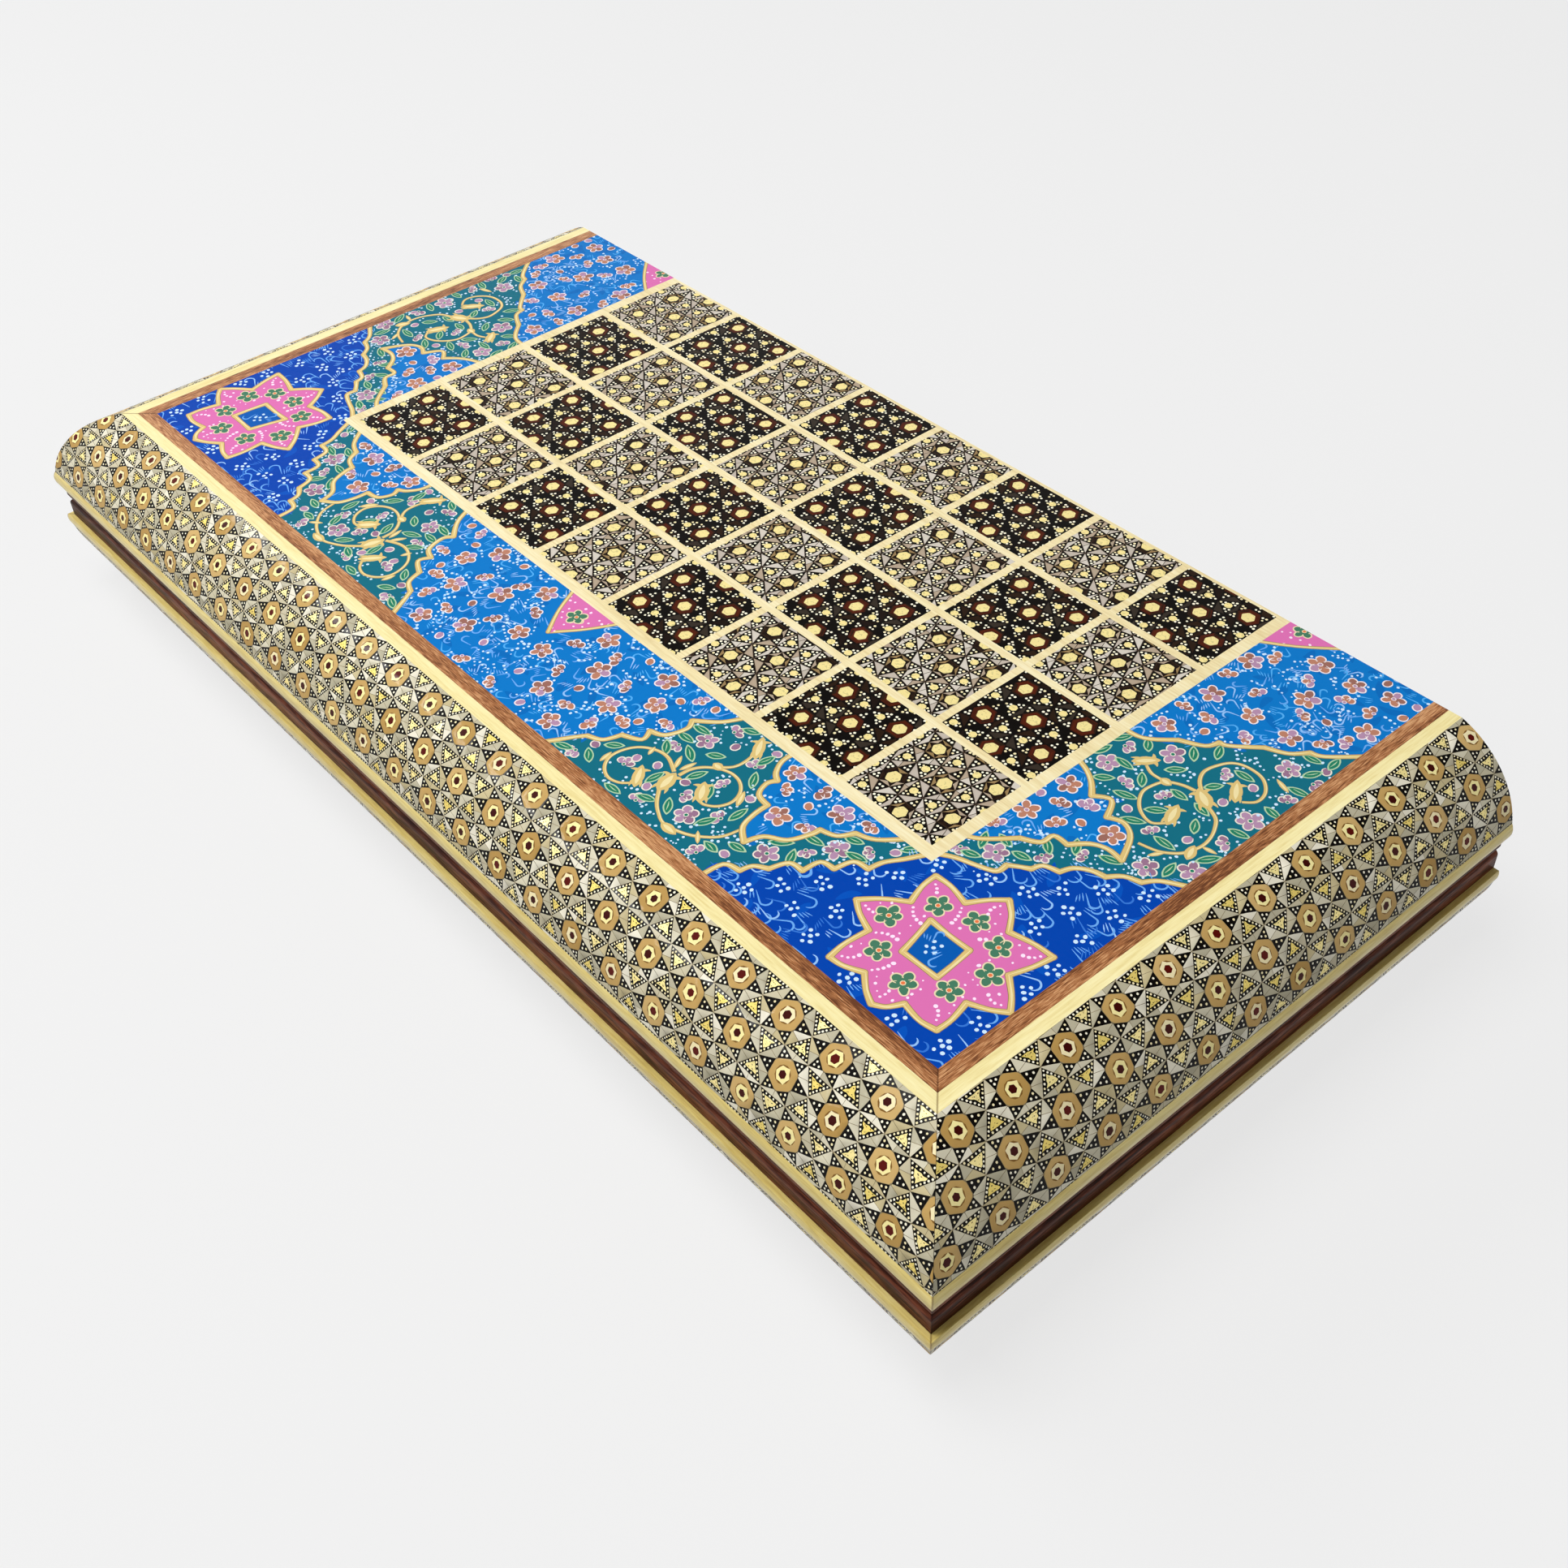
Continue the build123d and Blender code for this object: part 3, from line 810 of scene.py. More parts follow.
BAND_BLOOMS = [
    (77, -174), (98, -199), (138.5, -176.5), (126, -192), (209.7, -81.8), (211.5, -109.3),
    (203.3, -56.4), (176.1, -76.1), (165.4, -92.9), (201.9, -117.6), (169.4, -144)]
BAND_SIDES = [
    (79.5, -165.5), (96, -171), (72.5, -181.5), (96, -183), (68, -199), (90.5, -194.5), (53, -206),
    (106, -192.5), (83, -206), (112, -206.5), (146, -169.5), (132.5, -183), (212.2, -56.4),
    (211.9, -67.9), (211.1, -93.6), (194, -106), (191.5, -72.1), (186.9, -92.1), (174.7, -96.4),
    (164, -83.6), (187.9, -126.9), (179, -135.4), (161.1, -149.7)]
BAND_BUDS = [
    (85, -169.5), (96, -162.5), (68.5, -194.5), (75.5, -192), (80.5, -200), (87, -190.5),
    (105.5, -181), (55, -200), (118, -201), (150.5, -165), (211.5, -49.3), (201.5, -70.4),
    (199.4, -81.4), (202.6, -100.7), (182.6, -103.6)]
STAR_BLOOMS = [
    (184.7, -166.8), (195.4, -169.3), (200.8, -177.9), (197.2, -189.6), (187.2, -196.8),
    (174.4, -193.6), (166.9, -182.9), (173.3, -170.4)]
# Leaves: place and direction in degrees
LEAF_PLACES = [
    (82.8, -161.4, 20), (96, -166.8, 90), (72, -172, 20), (84, -176.4, 40), (71.4, -177.8, 10),
    (77.8, -181.4, 150), (70.7, -184.8, 140), (100, -175, 130), (86.8, -186, 60), (95, -188, 130),
    (108.2, -187.8, 80), (59.3, -196, 50), (79, -195.8, 80), (91.4, -200.5, 130),
    (84.3, -203.2, 30), (57.5, -204.3, 140), (49, -207.5, 30), (104, -196.5, 60), (74.3, -208, 10),
    (118.3, -196.6, 0), (113, -202, 170), (125.4, -186, 40), (131.9, -188, 120),
    (131.1, -178.6, 10), (139, -170.2, 20), (144.3, -174.3, 20), (152.6, -160.7, 50),
    (211, -45, 90), (209.4, -53.2, 60), (211.5, -62.1, 10), (211.9, -74.6, 0), (210.8, -88.2, 10),
    (211.6, -102.5, 70), (205.4, -47.9, 20), (200.4, -95, 120), (199, -106.5, 10),
    (196.5, -68.2, 10), (193.3, -78.2, 60), (197.2, -88.2, 0), (188.8, -88.2, 10),
    (188.6, -97.9, 50), (186.9, -106, 20), (184.7, -65.4, 120), (180.1, -71.4, 140),
    (181.1, -80.7, 40), (177.2, -91.1, 130), (178.3, -99.6, 20), (169, -89.6, 10),
    (168.3, -78.2, 140), (160.8, -81.4, 60), (160.4, -89.5, 80), (169, -98.6, 50),
    (206.9, -113.6, 100), (193.3, -122.6, 10), (183.3, -125.8, 130), (177.6, -131.5, 150),
    (175.4, -139.7, 20), (168, -138.6, 160), (165.1, -149.6, 30), (163.6, -143, 130)]
# Gold scrolls: brush strokes, then pointed blobs as middle, half length, half width and direction
SCROLLS = [
    [(81, -190), (75, -187.5), (70, -187.9), (65.4, -190.7), (62.9, -195), (62.5, -200),
    (65, -204), (69.3, -206), (73.6, -205), (76.5, -202)],
    [(83.2, -190), (83.6, -185.7), (85.7, -182.1), (89.3, -179.3), (93.6, -177.9), (97.9, -178.6),
    (101.4, -181.4), (102.9, -185.7), (101.4, -190), (97.9, -192.5), (95, -192)],
    [(88.2, -179.5), (91.4, -175.7), (92, -171.4), (91, -166)],
    [(84, -198), (88, -202), (92, -204.5), (96.5, -206), (103, -204.5), (108, -201.5), (112, -197),
    (113.5, -191)],
    [(192.5, -82.5), (189, -79.3), (187.2, -75), (188.3, -70), (190.4, -66.4), (194, -64.6),
    (199, -64.6), (202.6, -66.4), (205.4, -70), (205.8, -74.3), (203, -77.5)],
    [(196, -85.5), (201.9, -87.9), (204.7, -91.4), (206.5, -95.7), (206.9, -100), (205.5, -105),
    (203.3, -107.9), (199.7, -110.4), (194, -111.9)],
    [(191, -83.5), (186.9, -84.3), (182.6, -86.8), (181, -90.7), (180.8, -95), (183.3, -99.3),
    (186.9, -102.1), (191.1, -102.9), (194, -100)],
    [(182.6, -86.8), (177.6, -87.1), (174, -85.5)]]
SCROLL_BLOBS = [
    (82.9, -194.3, 4.6, 2.7, 105), (75.2, -199, 5.0, 2.0, 128), (93.6, -189.5, 4.6, 2.3, 130),
    (90.2, -164.6, 5.2, 2.0, 125), (88.2, -179, 2.1, 1.7, 0), (99, -206.3, 3.4, 1.8, 0),
    (103.6, -183, 3.4, 1.1, 120), (61.6, -201, 2.6, 0.9, 100), (107.5, -202.3, 2.6, 0.8, 140),
    (78.5, -186.5, 3.0, 0.9, 120), (82, -185.5, 3.0, 0.9, 80), (69, -189.2, 2.0, 0.8, 110),
    (194.7, -84.3, 4.6, 2.7, 150), (199, -75, 5.0, 2.0, 125), (193, -96, 4.8, 2.2, 110),
    (172.6, -84, 4.4, 2.0, 50), (182.6, -86.8, 2.1, 1.7, 0), (206.5, -104, 3.2, 1.8, 110),
    (206.6, -63.4, 3.2, 0.9, 160), (200.4, -111.5, 2.6, 0.8, 60), (209.5, -99.5, 2.4, 0.8, 10)]
DOT_GROUPS = [
    (161.8, -159.8), (175, -153.5), (197, -156.5), (209, -151), (211, -164), (211, -175.5),
    (156.5, -170.5), (152.5, -178.5), (145.5, -188), (138.5, -196.5), (132, -205.5), (147, -201),
    (156, -192.5), (158, -204), (176, -206.5), (195.5, -206.8), (209.5, -204), (211, -192),
    (209.7, -125.4), (208.6, -137.6), (200, -132.6), (192.6, -140.4), (199.4, -145.8),
    (186.5, -148.5)]


# The shades of a flower's petals, its outlines and their width, and its heart
FIELD_LOOK = (("petal", "petal", "petal_dark", "lilac"), "petal_edge", 0.5, "lilac")
BAND_LOOK = (("lilac", "lilac", "lilac_dark"), "lilac_edge", 0.5, "leaf")
STAR_LOOK = (("star_leaf",), "star_edge", 0.5, "orange")


def oval(x, y, long, wide, turn, count=9):
    return [turned(x, y, long * a, wide * b, turn) for a, b in ring(0, 0, 1, count)]


def smooth(points, steps=5):
    """A curve through the points, with steps pieces between each two."""
    ends = [points[0]] + list(points) + [points[-1]]
    line = []
    for a, b, c, d in zip(ends, ends[1:], ends[2:], ends[3:]):
        for i in range(steps):
            t = i / steps
            line.append(tuple(0.5 * (2 * b[k] + (c[k] - a[k]) * t
                                     + (2 * a[k] - 5 * b[k] + 4 * c[k] - d[k]) * t * t
                                     + (3 * b[k] - a[k] - 3 * c[k] + d[k]) * t ** 3)
                              for k in (0, 1)))
    return line + [tuple(points[-1])]


def stroke(points, widths, steps=5):
    """The outline of a brush stroke, with its widths spread evenly along it."""
    line = smooth(points, steps)
    last = len(line) - 1
    left = []
    right = []
    for i, (x, y) in enumerate(line):
        before, after = line[max(i - 1, 0)], line[min(i + 1, last)]
        dx, dy = after[0] - before[0], after[1] - before[1]
        length = math.hypot(dx, dy) or 1.0
        place = i / last * (len(widths) - 1)
        low = min(int(place), len(widths) - 2)
        half = (widths[low] + (widths[low + 1] - widths[low]) * (place - low)) / 2
        left.append((x - dy / length * half, y + dx / length * half))
        right.append((x + dy / length * half, y - dx / length * half))
    return left + right[::-1]


def follow_arcs(arcs):
    return [point for arc in arcs for point in smooth(arc)]


def gold_line(shapes, arcs, rng, width=1.7):
    """A line along the arcs with a knot at each cusp, an unsteady course and a painted highlight along
    it.
    """
    arcs = [[arc[0]] + [(x + rng.uniform(-0.25, 0.25), y + rng.uniform(-0.25, 0.25))
                        for x, y in arc[1:-1]] + [arc[-1]] for arc in arcs]
    for paint, extra in (("gold_edge", 0.4), ("gold", 0.0)):
        for arc in arcs:
            shapes.append((stroke(arc, [width * share + extra for share in (1, 0.85, 1.1)]), paint))
            shapes.append((ring(*arc[-1], (width + extra) * 0.55, 8), paint))
    # The thin paler stroke beside each arc is a painted highlight on the gold.
    for arc in arcs:
        side = width * rng.uniform(-0.2, 0.2)
        line = [(x + side, y + side) for x, y in arc]
        shapes.append((stroke(line, (0.1, width * rng.uniform(0.25, 0.5), 0.2)), "gold_light"))


def inside(point, outline):
    x, y = point
    crossed = False
    for (ax, ay), (bx, by) in sides(outline):
        if (ay > y) != (by > y) and x < ax + (y - ay) * (bx - ax) / (by - ay):
            crossed = not crossed
    return crossed


def circles(places, radius):
    """The ground that what stands at these places takes up."""
    return [(x, y, radius) for x, y, *_ in places]


def scatter(zone, without, taken, clear, count, rng):
    """Up to count places in a zone, clear of what is there already, which they join."""
    xs = [p[0] for p in zone]
    ys = [p[1] for p in zone]
    found = []
    for _ in range(count * TRIES):
        spot = (rng.uniform(min(xs), max(xs)), rng.uniform(min(ys), max(ys)))
        if len(found) == count:
            break
        if not inside(spot, zone) or any(inside(spot, other) for other in without):
            continue
        if all(math.dist(spot, (x, y)) > r + clear for x, y, r in taken):
            found.append(spot)
            taken.append((*spot, clear))
    return found


def petal(shapes, lines, x, y, long, wide, turn, body, edge, line_width, rng, reach=2.2):
    """A petal, and among the lines one brushed round its far end, thin where the brush lands
    and lifts."""
    shapes.append((oval(x, y, long, wide, turn), body))
    line = []
    for i in range(7):
        angle = reach * (i / 3 - 1) + rng.uniform(-0.1, 0.1)
        line.append(turned(x, y, long * math.cos(angle), wide * math.sin(angle), turn))
    lines.append((stroke(line, [line_width * share for share in (0.3, 1, 0.84, 1, 0.3)], 3), edge))


def towards(zone, x, y, reach, rng, spread=3.14):
    """A direction within spread of x in which a stroke from a place stays in its zone."""
    for _ in range(TRIES):
        turn = rng.uniform(-spread, spread)
        if inside(polar(x, y, reach, turn), zone):
            break
    return turn


def bloom(shapes, x, y, size, petals, look, rng):
    """A flower of five petals, or of three where it is seen from the side, with its outlines."""
    bodies, edge, line_width, heart = look
    lines = []
    turn = rng.uniform(0, 6.28)
    order = list(range(petals))
    rng.shuffle(order)
    for i in order:
        angle = turn + i * (1.257 if petals == 5 else 1.0) + rng.uniform(-0.12, 0.12)
        px, py = polar(x, y, size * rng.uniform(0.5, 0.6), angle)
        long, wide = size * rng.uniform(0.4, 0.48), size * rng.uniform(0.32, 0.4)
        petal(shapes, lines, px, py, long, wide, angle, rng.choice(bodies), edge, line_width, rng)
    shapes += lines
    shapes.append((ring(x, y, size * 0.22, 7), edge))
    shapes.append((ring(x, y, size * 0.15, 6), heart))


def bud(shapes, x, y, size, look, rng):
    bodies, edge, line_width, _ = look
    petal(shapes, shapes, x, y, size, size * 0.82, rng.uniform(0, 6.28), rng.choice(bodies), edge,
          line_width, rng, 2.8)


def pointed(x, y, half, wide, degrees):
    """A leaf or drop with two points."""
    turn = math.radians(degrees)
    dx, dy = math.cos(turn) * half, math.sin(turn) * half
    ends = [(x + dx * share, y + dy * share) for share in (-1, -0.4, 0.3, 1)]
    return stroke(ends, (0.15, wide * 1.5, wide * 2, wide * 1.5, 0.1), 3)


def palmette(shapes, x, y, half, wide, degrees, rng):
    """A pointed gold blob with a painted highlight down its middle. A large one has a barb on each side
    and curls at its foot.
    """
    shapes.append((pointed(x, y, half, wide, degrees), "gold"))
    turn = math.radians(degrees)
    for side in (1, -1) if half > 4 else ():
        for along, lean, reach in ((-0.25, 2.3, 0.75), (0.35, 1.0, 0.55)):
            foot = polar(x, y, half * along, turn)
            lean = turn + side * (lean + rng.uniform(-0.15, 0.15))
            knee = polar(*foot, wide * 0.9, lean)
            tip = polar(*knee, half * reach * 0.6, lean + side * 0.6)
            shapes.append((stroke([foot, knee, tip], (1.8, 1.3, 0.15), 3), "gold"))
    # The smaller paler blob inside is a painted highlight on the gold.
    shapes.append((pointed(x, y, half * 0.7, wide * 0.4, degrees), "gold_light"))


def leaf_motif(shapes, x, y, degrees, rng):
    half = rng.uniform(3.2, 4.1)
    degrees += rng.uniform(-12, 12)
    shapes.append((pointed(x, y, half, 1.6, degrees), "leaf_edge"))
    shapes.append((pointed(x, y, half - 0.8, 1.15, degrees), "leaf"))
    turn = math.radians(degrees)
    vein = [turned(x, y, -half * 0.5, 0.3, turn), polar(x, y, 0.2, turn),
            polar(x, y, half * 0.5, turn)]
    shapes.append((stroke(vein, (0.1, 0.4, 0.1), 3), "leaf_edge"))


def hook(shapes, x, y, size, turn, paint, rng):
    """A long stroke that ends in a round curl, and a few thin ones beside its foot."""
    sweep = rng.choice((-1, 1))
    c, s = math.cos(turn), math.sin(turn)
    line = [polar(x, y, size * along, turn) for along in (-1.1, -0.2, 0.7)]
    angle = turn
    for _ in range(5):
        angle += sweep * 0.58
        line.append(polar(*line[-1], 0.36 * size, angle))
    shapes.append((stroke(line, (0.14, 0.48, 0.6, 0.64, 0.56, 0.16), 3), paint))
    for i in range(rng.choice((0, 2, 3, 4))):
        lean = turn - sweep * (0.1 + 0.14 * i)
        aside = -sweep * (0.9 + 0.8 * i)
        back = 1.2 - 0.15 * i
        start = (x - size * c * back - aside * s, y - size * s * back + aside * c)
        end = polar(*start, size * rng.uniform(0.8, 1.2), lean)
        shapes.append((stroke([start, end], (0.12, 0.4, 0.12), 2), paint))


def wash(shapes, x, y, paint, rng):
    """A broad stroke of the ground, barely darker or lighter."""
    turn = rng.uniform(0, 3.14)
    reach = rng.uniform(2.5, 5.0)
    bend = rng.uniform(-1.2, 1.2)
    line = [polar(x, y, -reach, turn), (x - bend, y + bend), polar(x, y, reach, turn)]
    shapes.append((stroke(line, (0.3, 2.4, 2.8, 0.3), 4), paint))


def dot(shapes, x, y, radius, rng, paint="dot"):
    shapes.append((oval(x, y, radius, radius * rng.uniform(0.8, 1.0), rng.uniform(0, 3), 7), paint))


DABS = ((-2.5, 0.2), (-0.8, 1.6), (0.1, -0.1), (2.0, 1.4), (-1.1, -1.6), (2.1, -1.1))


def dot_group(shapes, x, y, rng):
    """Five or six dots dabbed close together."""
    turn = rng.uniform(0, 6.28)
    for dx, dy in DABS[:rng.choice((5, 6, 6))]:
        place = turned(x, y, dx + rng.uniform(-0.2, 0.2), dy, turn)
        dot(shapes, *place, rng.uniform(0.6, 0.8), rng)


def dot_row(shapes, x, y, rng, big, taken):
    """Two to four dots that grow smaller round a bend, up to what is in their way."""
    turn = rng.uniform(0, 6.28)
    bend = rng.uniform(-0.35, 0.35)
    for i in range(rng.choice((2, 3, 3, 4))):
        if any(math.dist((x, y), (a, b)) < r for a, b, r in taken):
            return
        dot(shapes, x, y, big * (1 - 0.14 * i), rng)
        x, y = polar(x, y, 1.8, turn)
        turn += bend


STAR_MIDDLE = (184.5, -183)
STAR_REACH = 19
PETALS_REACH = 4.1       # of the star's flowers, which its rows of dots keep clear of


def paint_star(shapes, rng):
    outline = []
    for i, tip in enumerate(STAR_TIPS):
        for a, b in ((STAR_NOTCHES[i - 1], tip), (tip, STAR_NOTCHES[i])):
            mid = between(a, b, 0.5)
            outline.append([a, between(STAR_MIDDLE, mid, 1 + 1.0 / math.dist(mid, STAR_MIDDLE)), b])
    shapes.append((follow_arcs(outline), "magenta"))
    gold_line(shapes, outline, rng)
    shapes.append((STAR_HEART, "heart_blue"))
    gold_line(shapes, [[a, between(a, b, 0.5), b] for a, b in sides(STAR_HEART)], rng)
    dot_group(shapes, 183.6, -182.3, rng)
    hook(shapes, 186.5, -184.5, 2.2, 4.5, "hook", rng)
    hook(shapes, 181, -179, 1.8, 2.0, "hook", rng)
    for x, y in STAR_BLOOMS:
        bloom(shapes, x, y, 4.2, 5, STAR_LOOK, rng)
    taken = circles(STAR_BLOOMS, 3.6) + [(184, -182.5, 9.6)]
    for arc in outline:
        taken += circles(smooth(arc, 4), 0.7)
    for places, start, count in ((STAR_TIPS, 3.4, 4), (STAR_NOTCHES, 2.2, 5)):
        for corner in places:
            far = math.dist(corner, STAR_MIDDLE)
            bend = rng.choice((-1, 1)) * rng.uniform(0.4, 0.9)
            for i in range(count):
                x, y = between(corner, STAR_MIDDLE, (start + 1.55 * i) / far)
                aside = bend * math.sin(math.pi * i / (count - 1)) / far
                x += aside * (corner[1] - STAR_MIDDLE[1])
                y -= aside * (corner[0] - STAR_MIDDLE[0])
                if all(math.dist((x, y), flower) > PETALS_REACH for flower in STAR_BLOOMS):
                    dot(shapes, x, y, rng.uniform(0.42, 0.5) + 0.07 * i, rng, "dot_pink")
                    taken.append((x, y, 1.2))
    for x, y in scatter([p for arc in outline for p in arc], (), taken, 0.8, 30, rng):
        dot(shapes, x, y, rng.choice((0.3, 0.42, 0.55)), rng, "dot_pink")


def paint_fields(shapes, fields, middles, rng):
    """The fields' ground and brush strokes, which the flowers come over."""
    taken = circles(FIELD_BLOOMS, 3.6) + circles(FIELD_SIDES, 2.6) + circles(FIELD_BUDS, 1.7)
    flowers = list(taken)
    for zone, count in zip(fields, (70, 70, 16, 16)):
        for x, y in scatter(zone, (), [], 4.0, count, rng):
            wash(shapes, x, y, "azure_deep", rng)
        for x, y in scatter(zone, middles, taken, 1.5, count, rng):
            hook(shapes, x, y, rng.uniform(1.7, 2.4), towards(zone, x, y, 5.0, rng),
                 rng.choice(("azure_light", "hook", "hook_light")), rng)
        for x, y in scatter(zone, middles, list(flowers), 0.9, count, rng):
            dot_row(shapes, x, y, rng, rng.uniform(0.44, 0.68), flowers)


def paint_flowers(shapes, rng):
    for places, petals, size, look in (
            (FIELD_BLOOMS, 5, 4.1, FIELD_LOOK), (FIELD_SIDES, 3, 3.6, FIELD_LOOK),
            (BAND_BLOOMS, 5, 3.9, BAND_LOOK), (BAND_SIDES, 3, 3.2, BAND_LOOK)):
        for x, y in places:
            bloom(shapes, x, y, size * rng.uniform(0.92, 1.08), petals, look, rng)
    for places, look in ((FIELD_BUDS, FIELD_LOOK), (BAND_BUDS, BAND_LOOK)):
        for x, y in places:
            bud(shapes, x, y, 1.7, look, rng)
    for x, y, degrees in LEAF_PLACES:
        leaf_motif(shapes, x, y, degrees, rng)


def paint_bands(shapes, without, rng):
    """The bands' rows of dots, which keep clear of the rest, and their gold scrolls with a painted
    highlight beside each.
    """
    taken = (circles(BAND_BLOOMS, 3.0) + circles(BAND_SIDES + BAND_BUDS + LEAF_PLACES, 2.2)
             + circles(SCROLL_BLOBS, 2.5))
    for scroll in SCROLLS:
        taken += circles(smooth(scroll, 3), 0.8)
    motifs = list(taken)
    for zone in ([(43, -157), (158, -157), (158, -211), (43, -211)],
                 [(157, -34), (215, -34), (215, -160), (157, -160)]):
        for x, y in scatter(zone, without, taken, 0.45, 90, rng):
            dot_row(shapes, x, y, rng, rng.uniform(0.42, 0.64), motifs)
    for scroll in SCROLLS:
        shapes.append((stroke(scroll, (1.5, 1.2, 1.3, 1.1)), "gold_edge"))
        shapes.append((stroke(scroll, (1.2, 0.9, 1.0, 0.8)), "gold"))
        # A thin paler stroke, set off to one side of each scroll, is a painted highlight on the gold.
        light = [(x + 0.2, y + 0.2) for x, y in scroll]
        shapes.append((stroke(light, (0.1, 0.4, 0.3, 0.1)), "gold_light"))
    for blob in SCROLL_BLOBS:
        palmette(shapes, *blob, rng)


def paint_corner(shapes, corner, rng):
    """Strokes and groups of dots round the star, and the star."""
    for x, y in scatter(corner, (), [], 5.0, 40, rng):
        wash(shapes, x, y, "ultramarine_soft", rng)
    taken = circles([STAR_MIDDLE], STAR_REACH) + circles(STAR_TIPS, 4.5) + circles(DOT_GROUPS, 3.0)
    for x, y in scatter(corner, (), taken, 1.8, 120, rng):
        hook(shapes, x, y, rng.uniform(2.4, 3.2), towards(corner, x, y, 6.0, rng, 0.7),
             rng.choice(("ultramarine_light", "hook", "hook", "hook_light")), rng)
    for x, y in DOT_GROUPS:
        dot_group(shapes, x, y, rng)
    paint_star(shapes, rng)


def paint_half():
    """Every shape of the border's right half, in the order of painting."""
    rng = random.Random(23)
    shapes = []
    fields = (follow_arcs(FRONT_FIELD_LINE) + [(-1, -211.5), (-1, -157)],
              follow_arcs(END_FIELD_LINE) + [(156, 1), (216, 1)],
              follow_arcs(FRONT_SHIELD_LINE), follow_arcs(END_SHIELD_LINE))
    corner = follow_arcs(CORNER_LINE) + [(216, -212)]
    middles = (follow_arcs(FRONT_MIDDLE_LINE) + [(-1, -178), (-1, -157)],
               follow_arcs(END_MIDDLE_LINE) + [(156, 2)])
    for zone in fields:
        shapes.append((zone, "azure"))
    shapes.append((corner, "ultramarine"))
    paint_fields(shapes, fields, middles, rng)
    paint_flowers(shapes, rng)
    paint_bands(shapes, (*fields, corner), rng)
    paint_corner(shapes, corner, rng)
    for zone, flower in zip(middles, ((0, -167), (166, -1))):
        shapes.append((zone, "magenta"))
        bloom(shapes, *flower, 3.8, 5, STAR_LOOK, rng)
        for x, y in scatter(zone, (), circles([flower], 3.5), 0.8, 14, rng):
            dot(shapes, x, y, rng.uniform(0.35, 0.6), rng, "dot_pink")
    for arcs in (FRONT_FIELD_LINE, END_FIELD_LINE, FRONT_SHIELD_LINE, END_SHIELD_LINE, CORNER_LINE):
        gold_line(shapes, arcs, rng)
    for arcs in (FRONT_MIDDLE_LINE, END_MIDDLE_LINE):
        gold_line(shapes, arcs, rng, 1.2)
    return shapes


def make_painting():
    right = paint_half()
    left = [([(-x, y) for x, y in shape], paint) for shape, paint in right]
    x1, y1 = EDGE_X - BANDS, BANDS - EDGE_Y
    x0, y0 = x1 - PANEL_END, y1 + PANEL_FRONT
    for name, shapes, outline in (
            ("front", right + left, [(-x0, y0), (-x1, y1), (x1, y1), (x0, y0)]),
            ("right", right, [(x0, -HALF_GAP), (x0, y0), (x1, y1), (x1, -HALF_GAP)]),
            ("left", left, [(-x0, -HALF_GAP), (-x1, -HALF_GAP), (-x1, y1), (-x0, y0)])):
        body = Body()
        body.add(outline, shapes, "teal", flat_place, FACING)
        body.pieces("painted_panel_" + name, ["painted_border_" + name])


dress_nodes()
make_mouldings()
make_plaques()
make_painting()


# Stage, lights and camera

FLOOR_GLOW = 0.74        # share of its own light in the floor, where a camera or gloss sees it
FLOOR_REACH = 6.0
CEILING = 0.12           # the room's brightness overhead
WORLD_LIGHT = 0.4        # share of the room's brightness that lights the object
BOARD_MIDDLE = Vector((0, 0, 0.05))

# The photograph's camera: millimetres, degrees, and metres from the hinge axis and the face
SENSOR = 36.0
LENS = 42.89
AZIMUTH, DOWN, ROLL = 51.02, 42.83, -2.58
CAMERA_SIDE, CAMERA_BEFORE, CAMERA_ABOVE = 0.42156, 0.42375, 0.37467


def make_stage():
    material, tree, shader = new_material("stage_floor")
    fill(tree, shader, {"Base Color": (0.5, 0.5, 0.5, 1), "Roughness": 0.9})
    glow = add(tree, "Emission", {"Strength": 1.0})
    light = tree.nodes.new("ShaderNodeLightPath")
    seen = maths(tree, "MAXIMUM", light.outputs["Is Camera Ray"], light.outputs["Is Glossy Ray"])
    seen = maths(tree, "MAXIMUM", seen, light.outputs["Is Transmission Ray"])
    surface = add(tree, "MixShader", {0: maths(tree, "MULTIPLY", seen, FLOOR_GLOW),
                                      1: shader.outputs[0], 2: glow})
    fill(tree, tree.nodes["Material Output"], {"Surface": surface})
    mesh = bpy.data.meshes.new("stage_floor")
    signs = ((-1, -1), (1, -1), (1, 1), (-1, 1))
    mesh.from_pydata([(x * FLOOR_REACH, y * FLOOR_REACH, 0) for x, y in signs], [], [range(4)])
    mesh.materials.append(material)
    new_object("stage_floor", mesh)


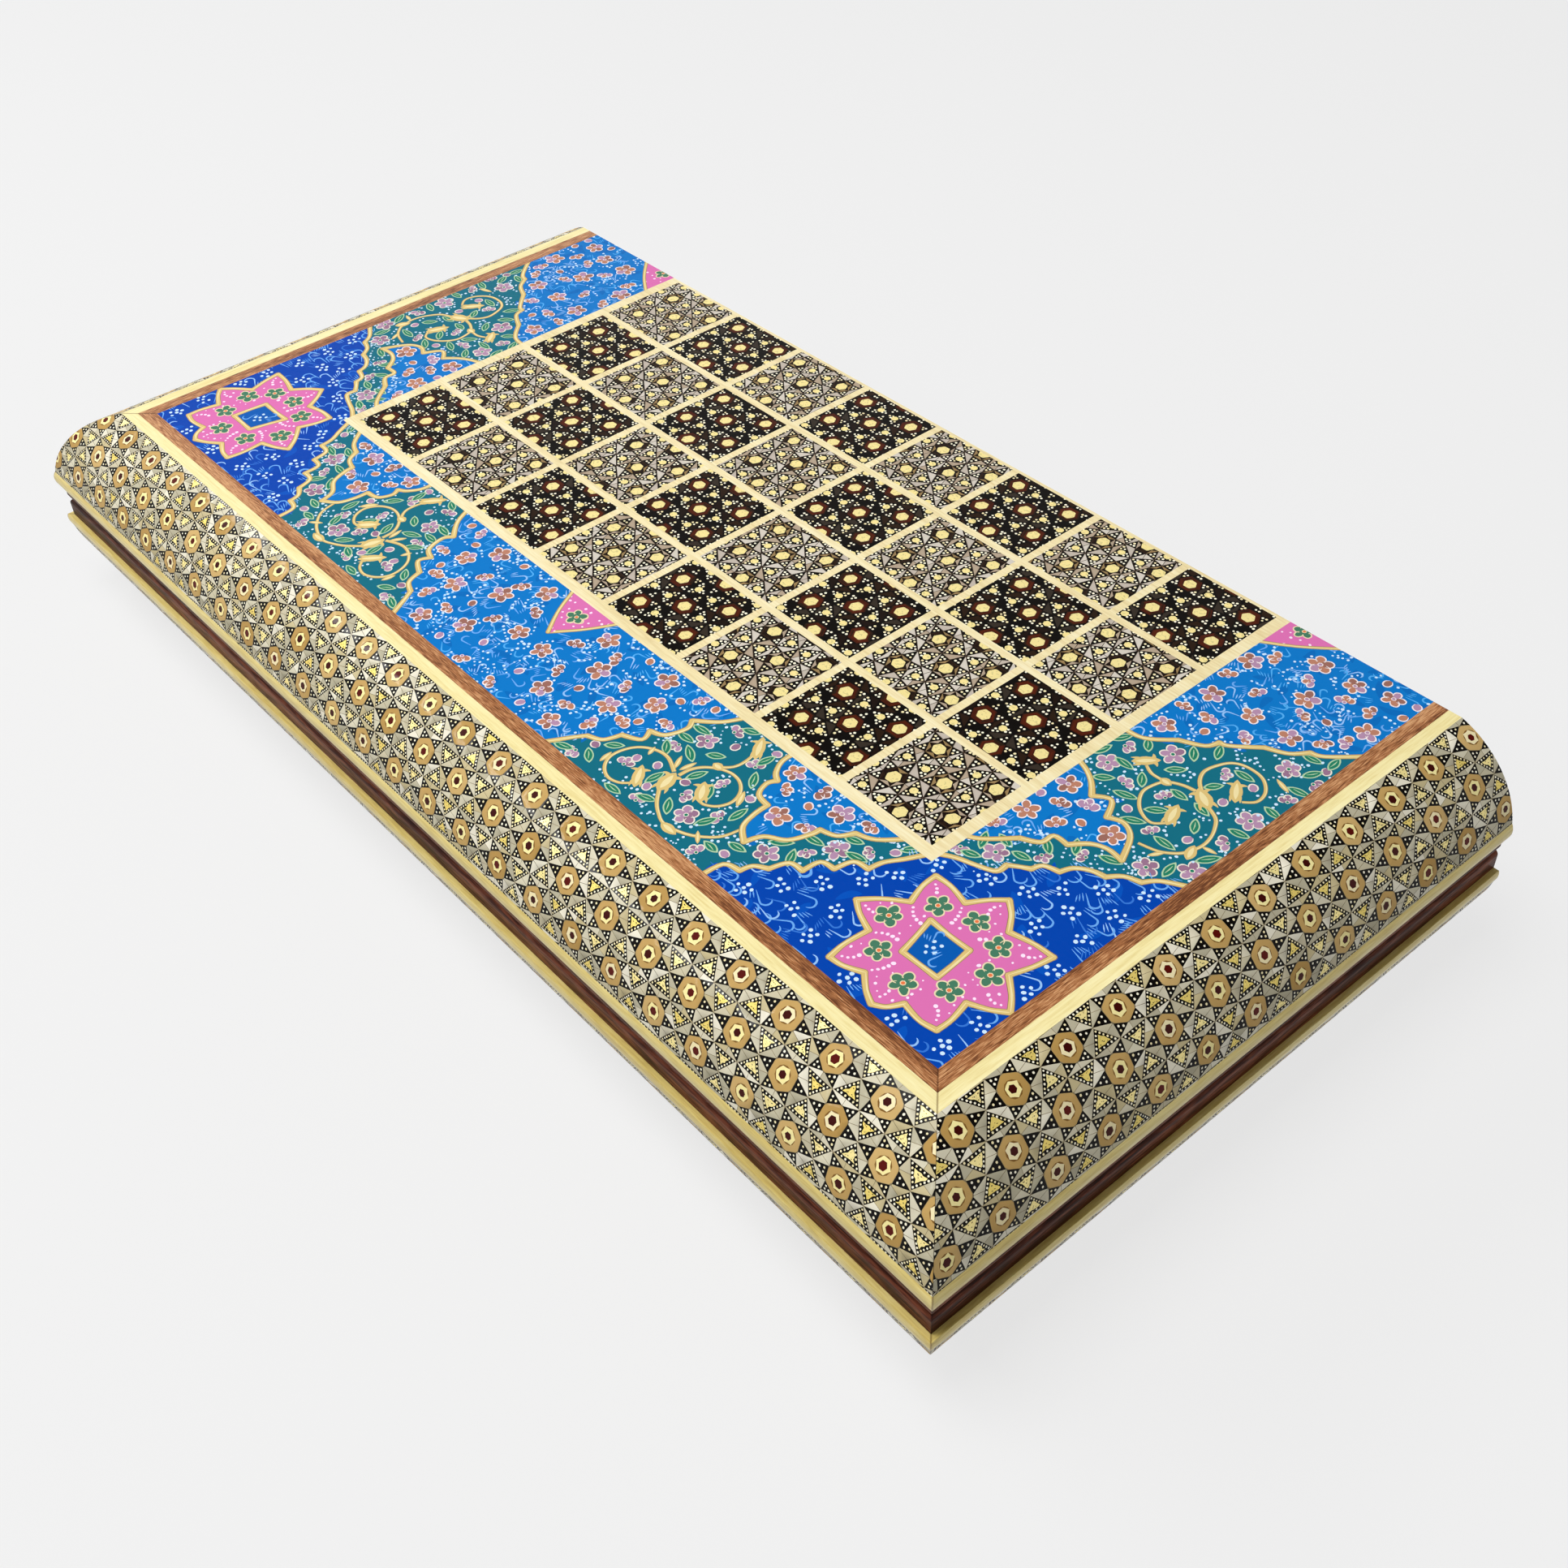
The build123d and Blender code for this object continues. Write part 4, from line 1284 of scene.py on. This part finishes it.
def make_light(name, place, size, power):
    """A rectangular lamp, turned to the middle of the board."""
    data = bpy.data.lights.new(name, "AREA")
    data.shape = "RECTANGLE"
    data.size, data.size_y = size
    data.energy = power
    lamp = new_object(name, data)
    lamp.location = place
    lamp.rotation_euler = (BOARD_MIDDLE - Vector(place)).to_track_quat("-Z", "Y").to_euler()


def make_world():
    """A room that is pale all round and darker overhead. Diffuse light takes only a share of it."""
    world = bpy.data.worlds.new("studio")
    world.use_nodes = True
    tree = world.node_tree
    parts = tree.nodes.new("ShaderNodeSeparateXYZ")
    fill(tree, parts, {0: tree.nodes.new("ShaderNodeTexCoord").outputs["Generated"]})
    room = span(tree, parts.outputs["Z"], 1.0, CEILING, 0.34, 0.64)
    light = tree.nodes.new("ShaderNodeLightPath")
    soft = span(tree, light.outputs["Is Diffuse Ray"], 1.0, WORLD_LIGHT, 0, 1)
    fill(tree, tree.nodes["Background"], {"Color": (1, 1, 1, 1),
                                          "Strength": maths(tree, "MULTIPLY", room, soft)})
    bpy.context.scene.world = world


def make_camera():
    """The photograph's view, from its place, turn and lens."""
    data = bpy.data.cameras.new("camera")
    data.sensor_width = SENSOR
    data.lens = LENS
    data.clip_start = 0.01
    azimuth, down, roll = (math.radians(a) for a in (AZIMUTH, DOWN, ROLL))
    forward = Vector((-math.sin(azimuth) * math.cos(down), math.cos(azimuth) * math.cos(down),
                      -math.sin(down)))
    right = forward.cross(Vector((0, 0, 1))).normalized()
    up = right.cross(forward)
    tilted = right * math.cos(roll) + up * math.sin(roll)
    turn = Matrix((tilted, tilted.cross(forward), -forward)).transposed().to_4x4()
    place = Vector((CAMERA_SIDE, spine_y - CAMERA_BEFORE, face_z + CAMERA_ABOVE))
    camera = new_object("camera", data)
    camera.matrix_world = Matrix.Translation(place) @ turn
    bpy.context.scene.camera = camera


make_stage()
make_world()
make_light("overhead", (-0.1, -0.35, 1.6), (1.0, 0.8), 19.3)
make_light("strip", (-1.25, -0.74, 1.14), (1.7, 0.1), 15)
make_light("fill", (1.2, 0.3, 0.9), (0.8, 0.8), 1.0)
make_camera()
bpy.context.scene.view_settings.view_transform = "Standard"
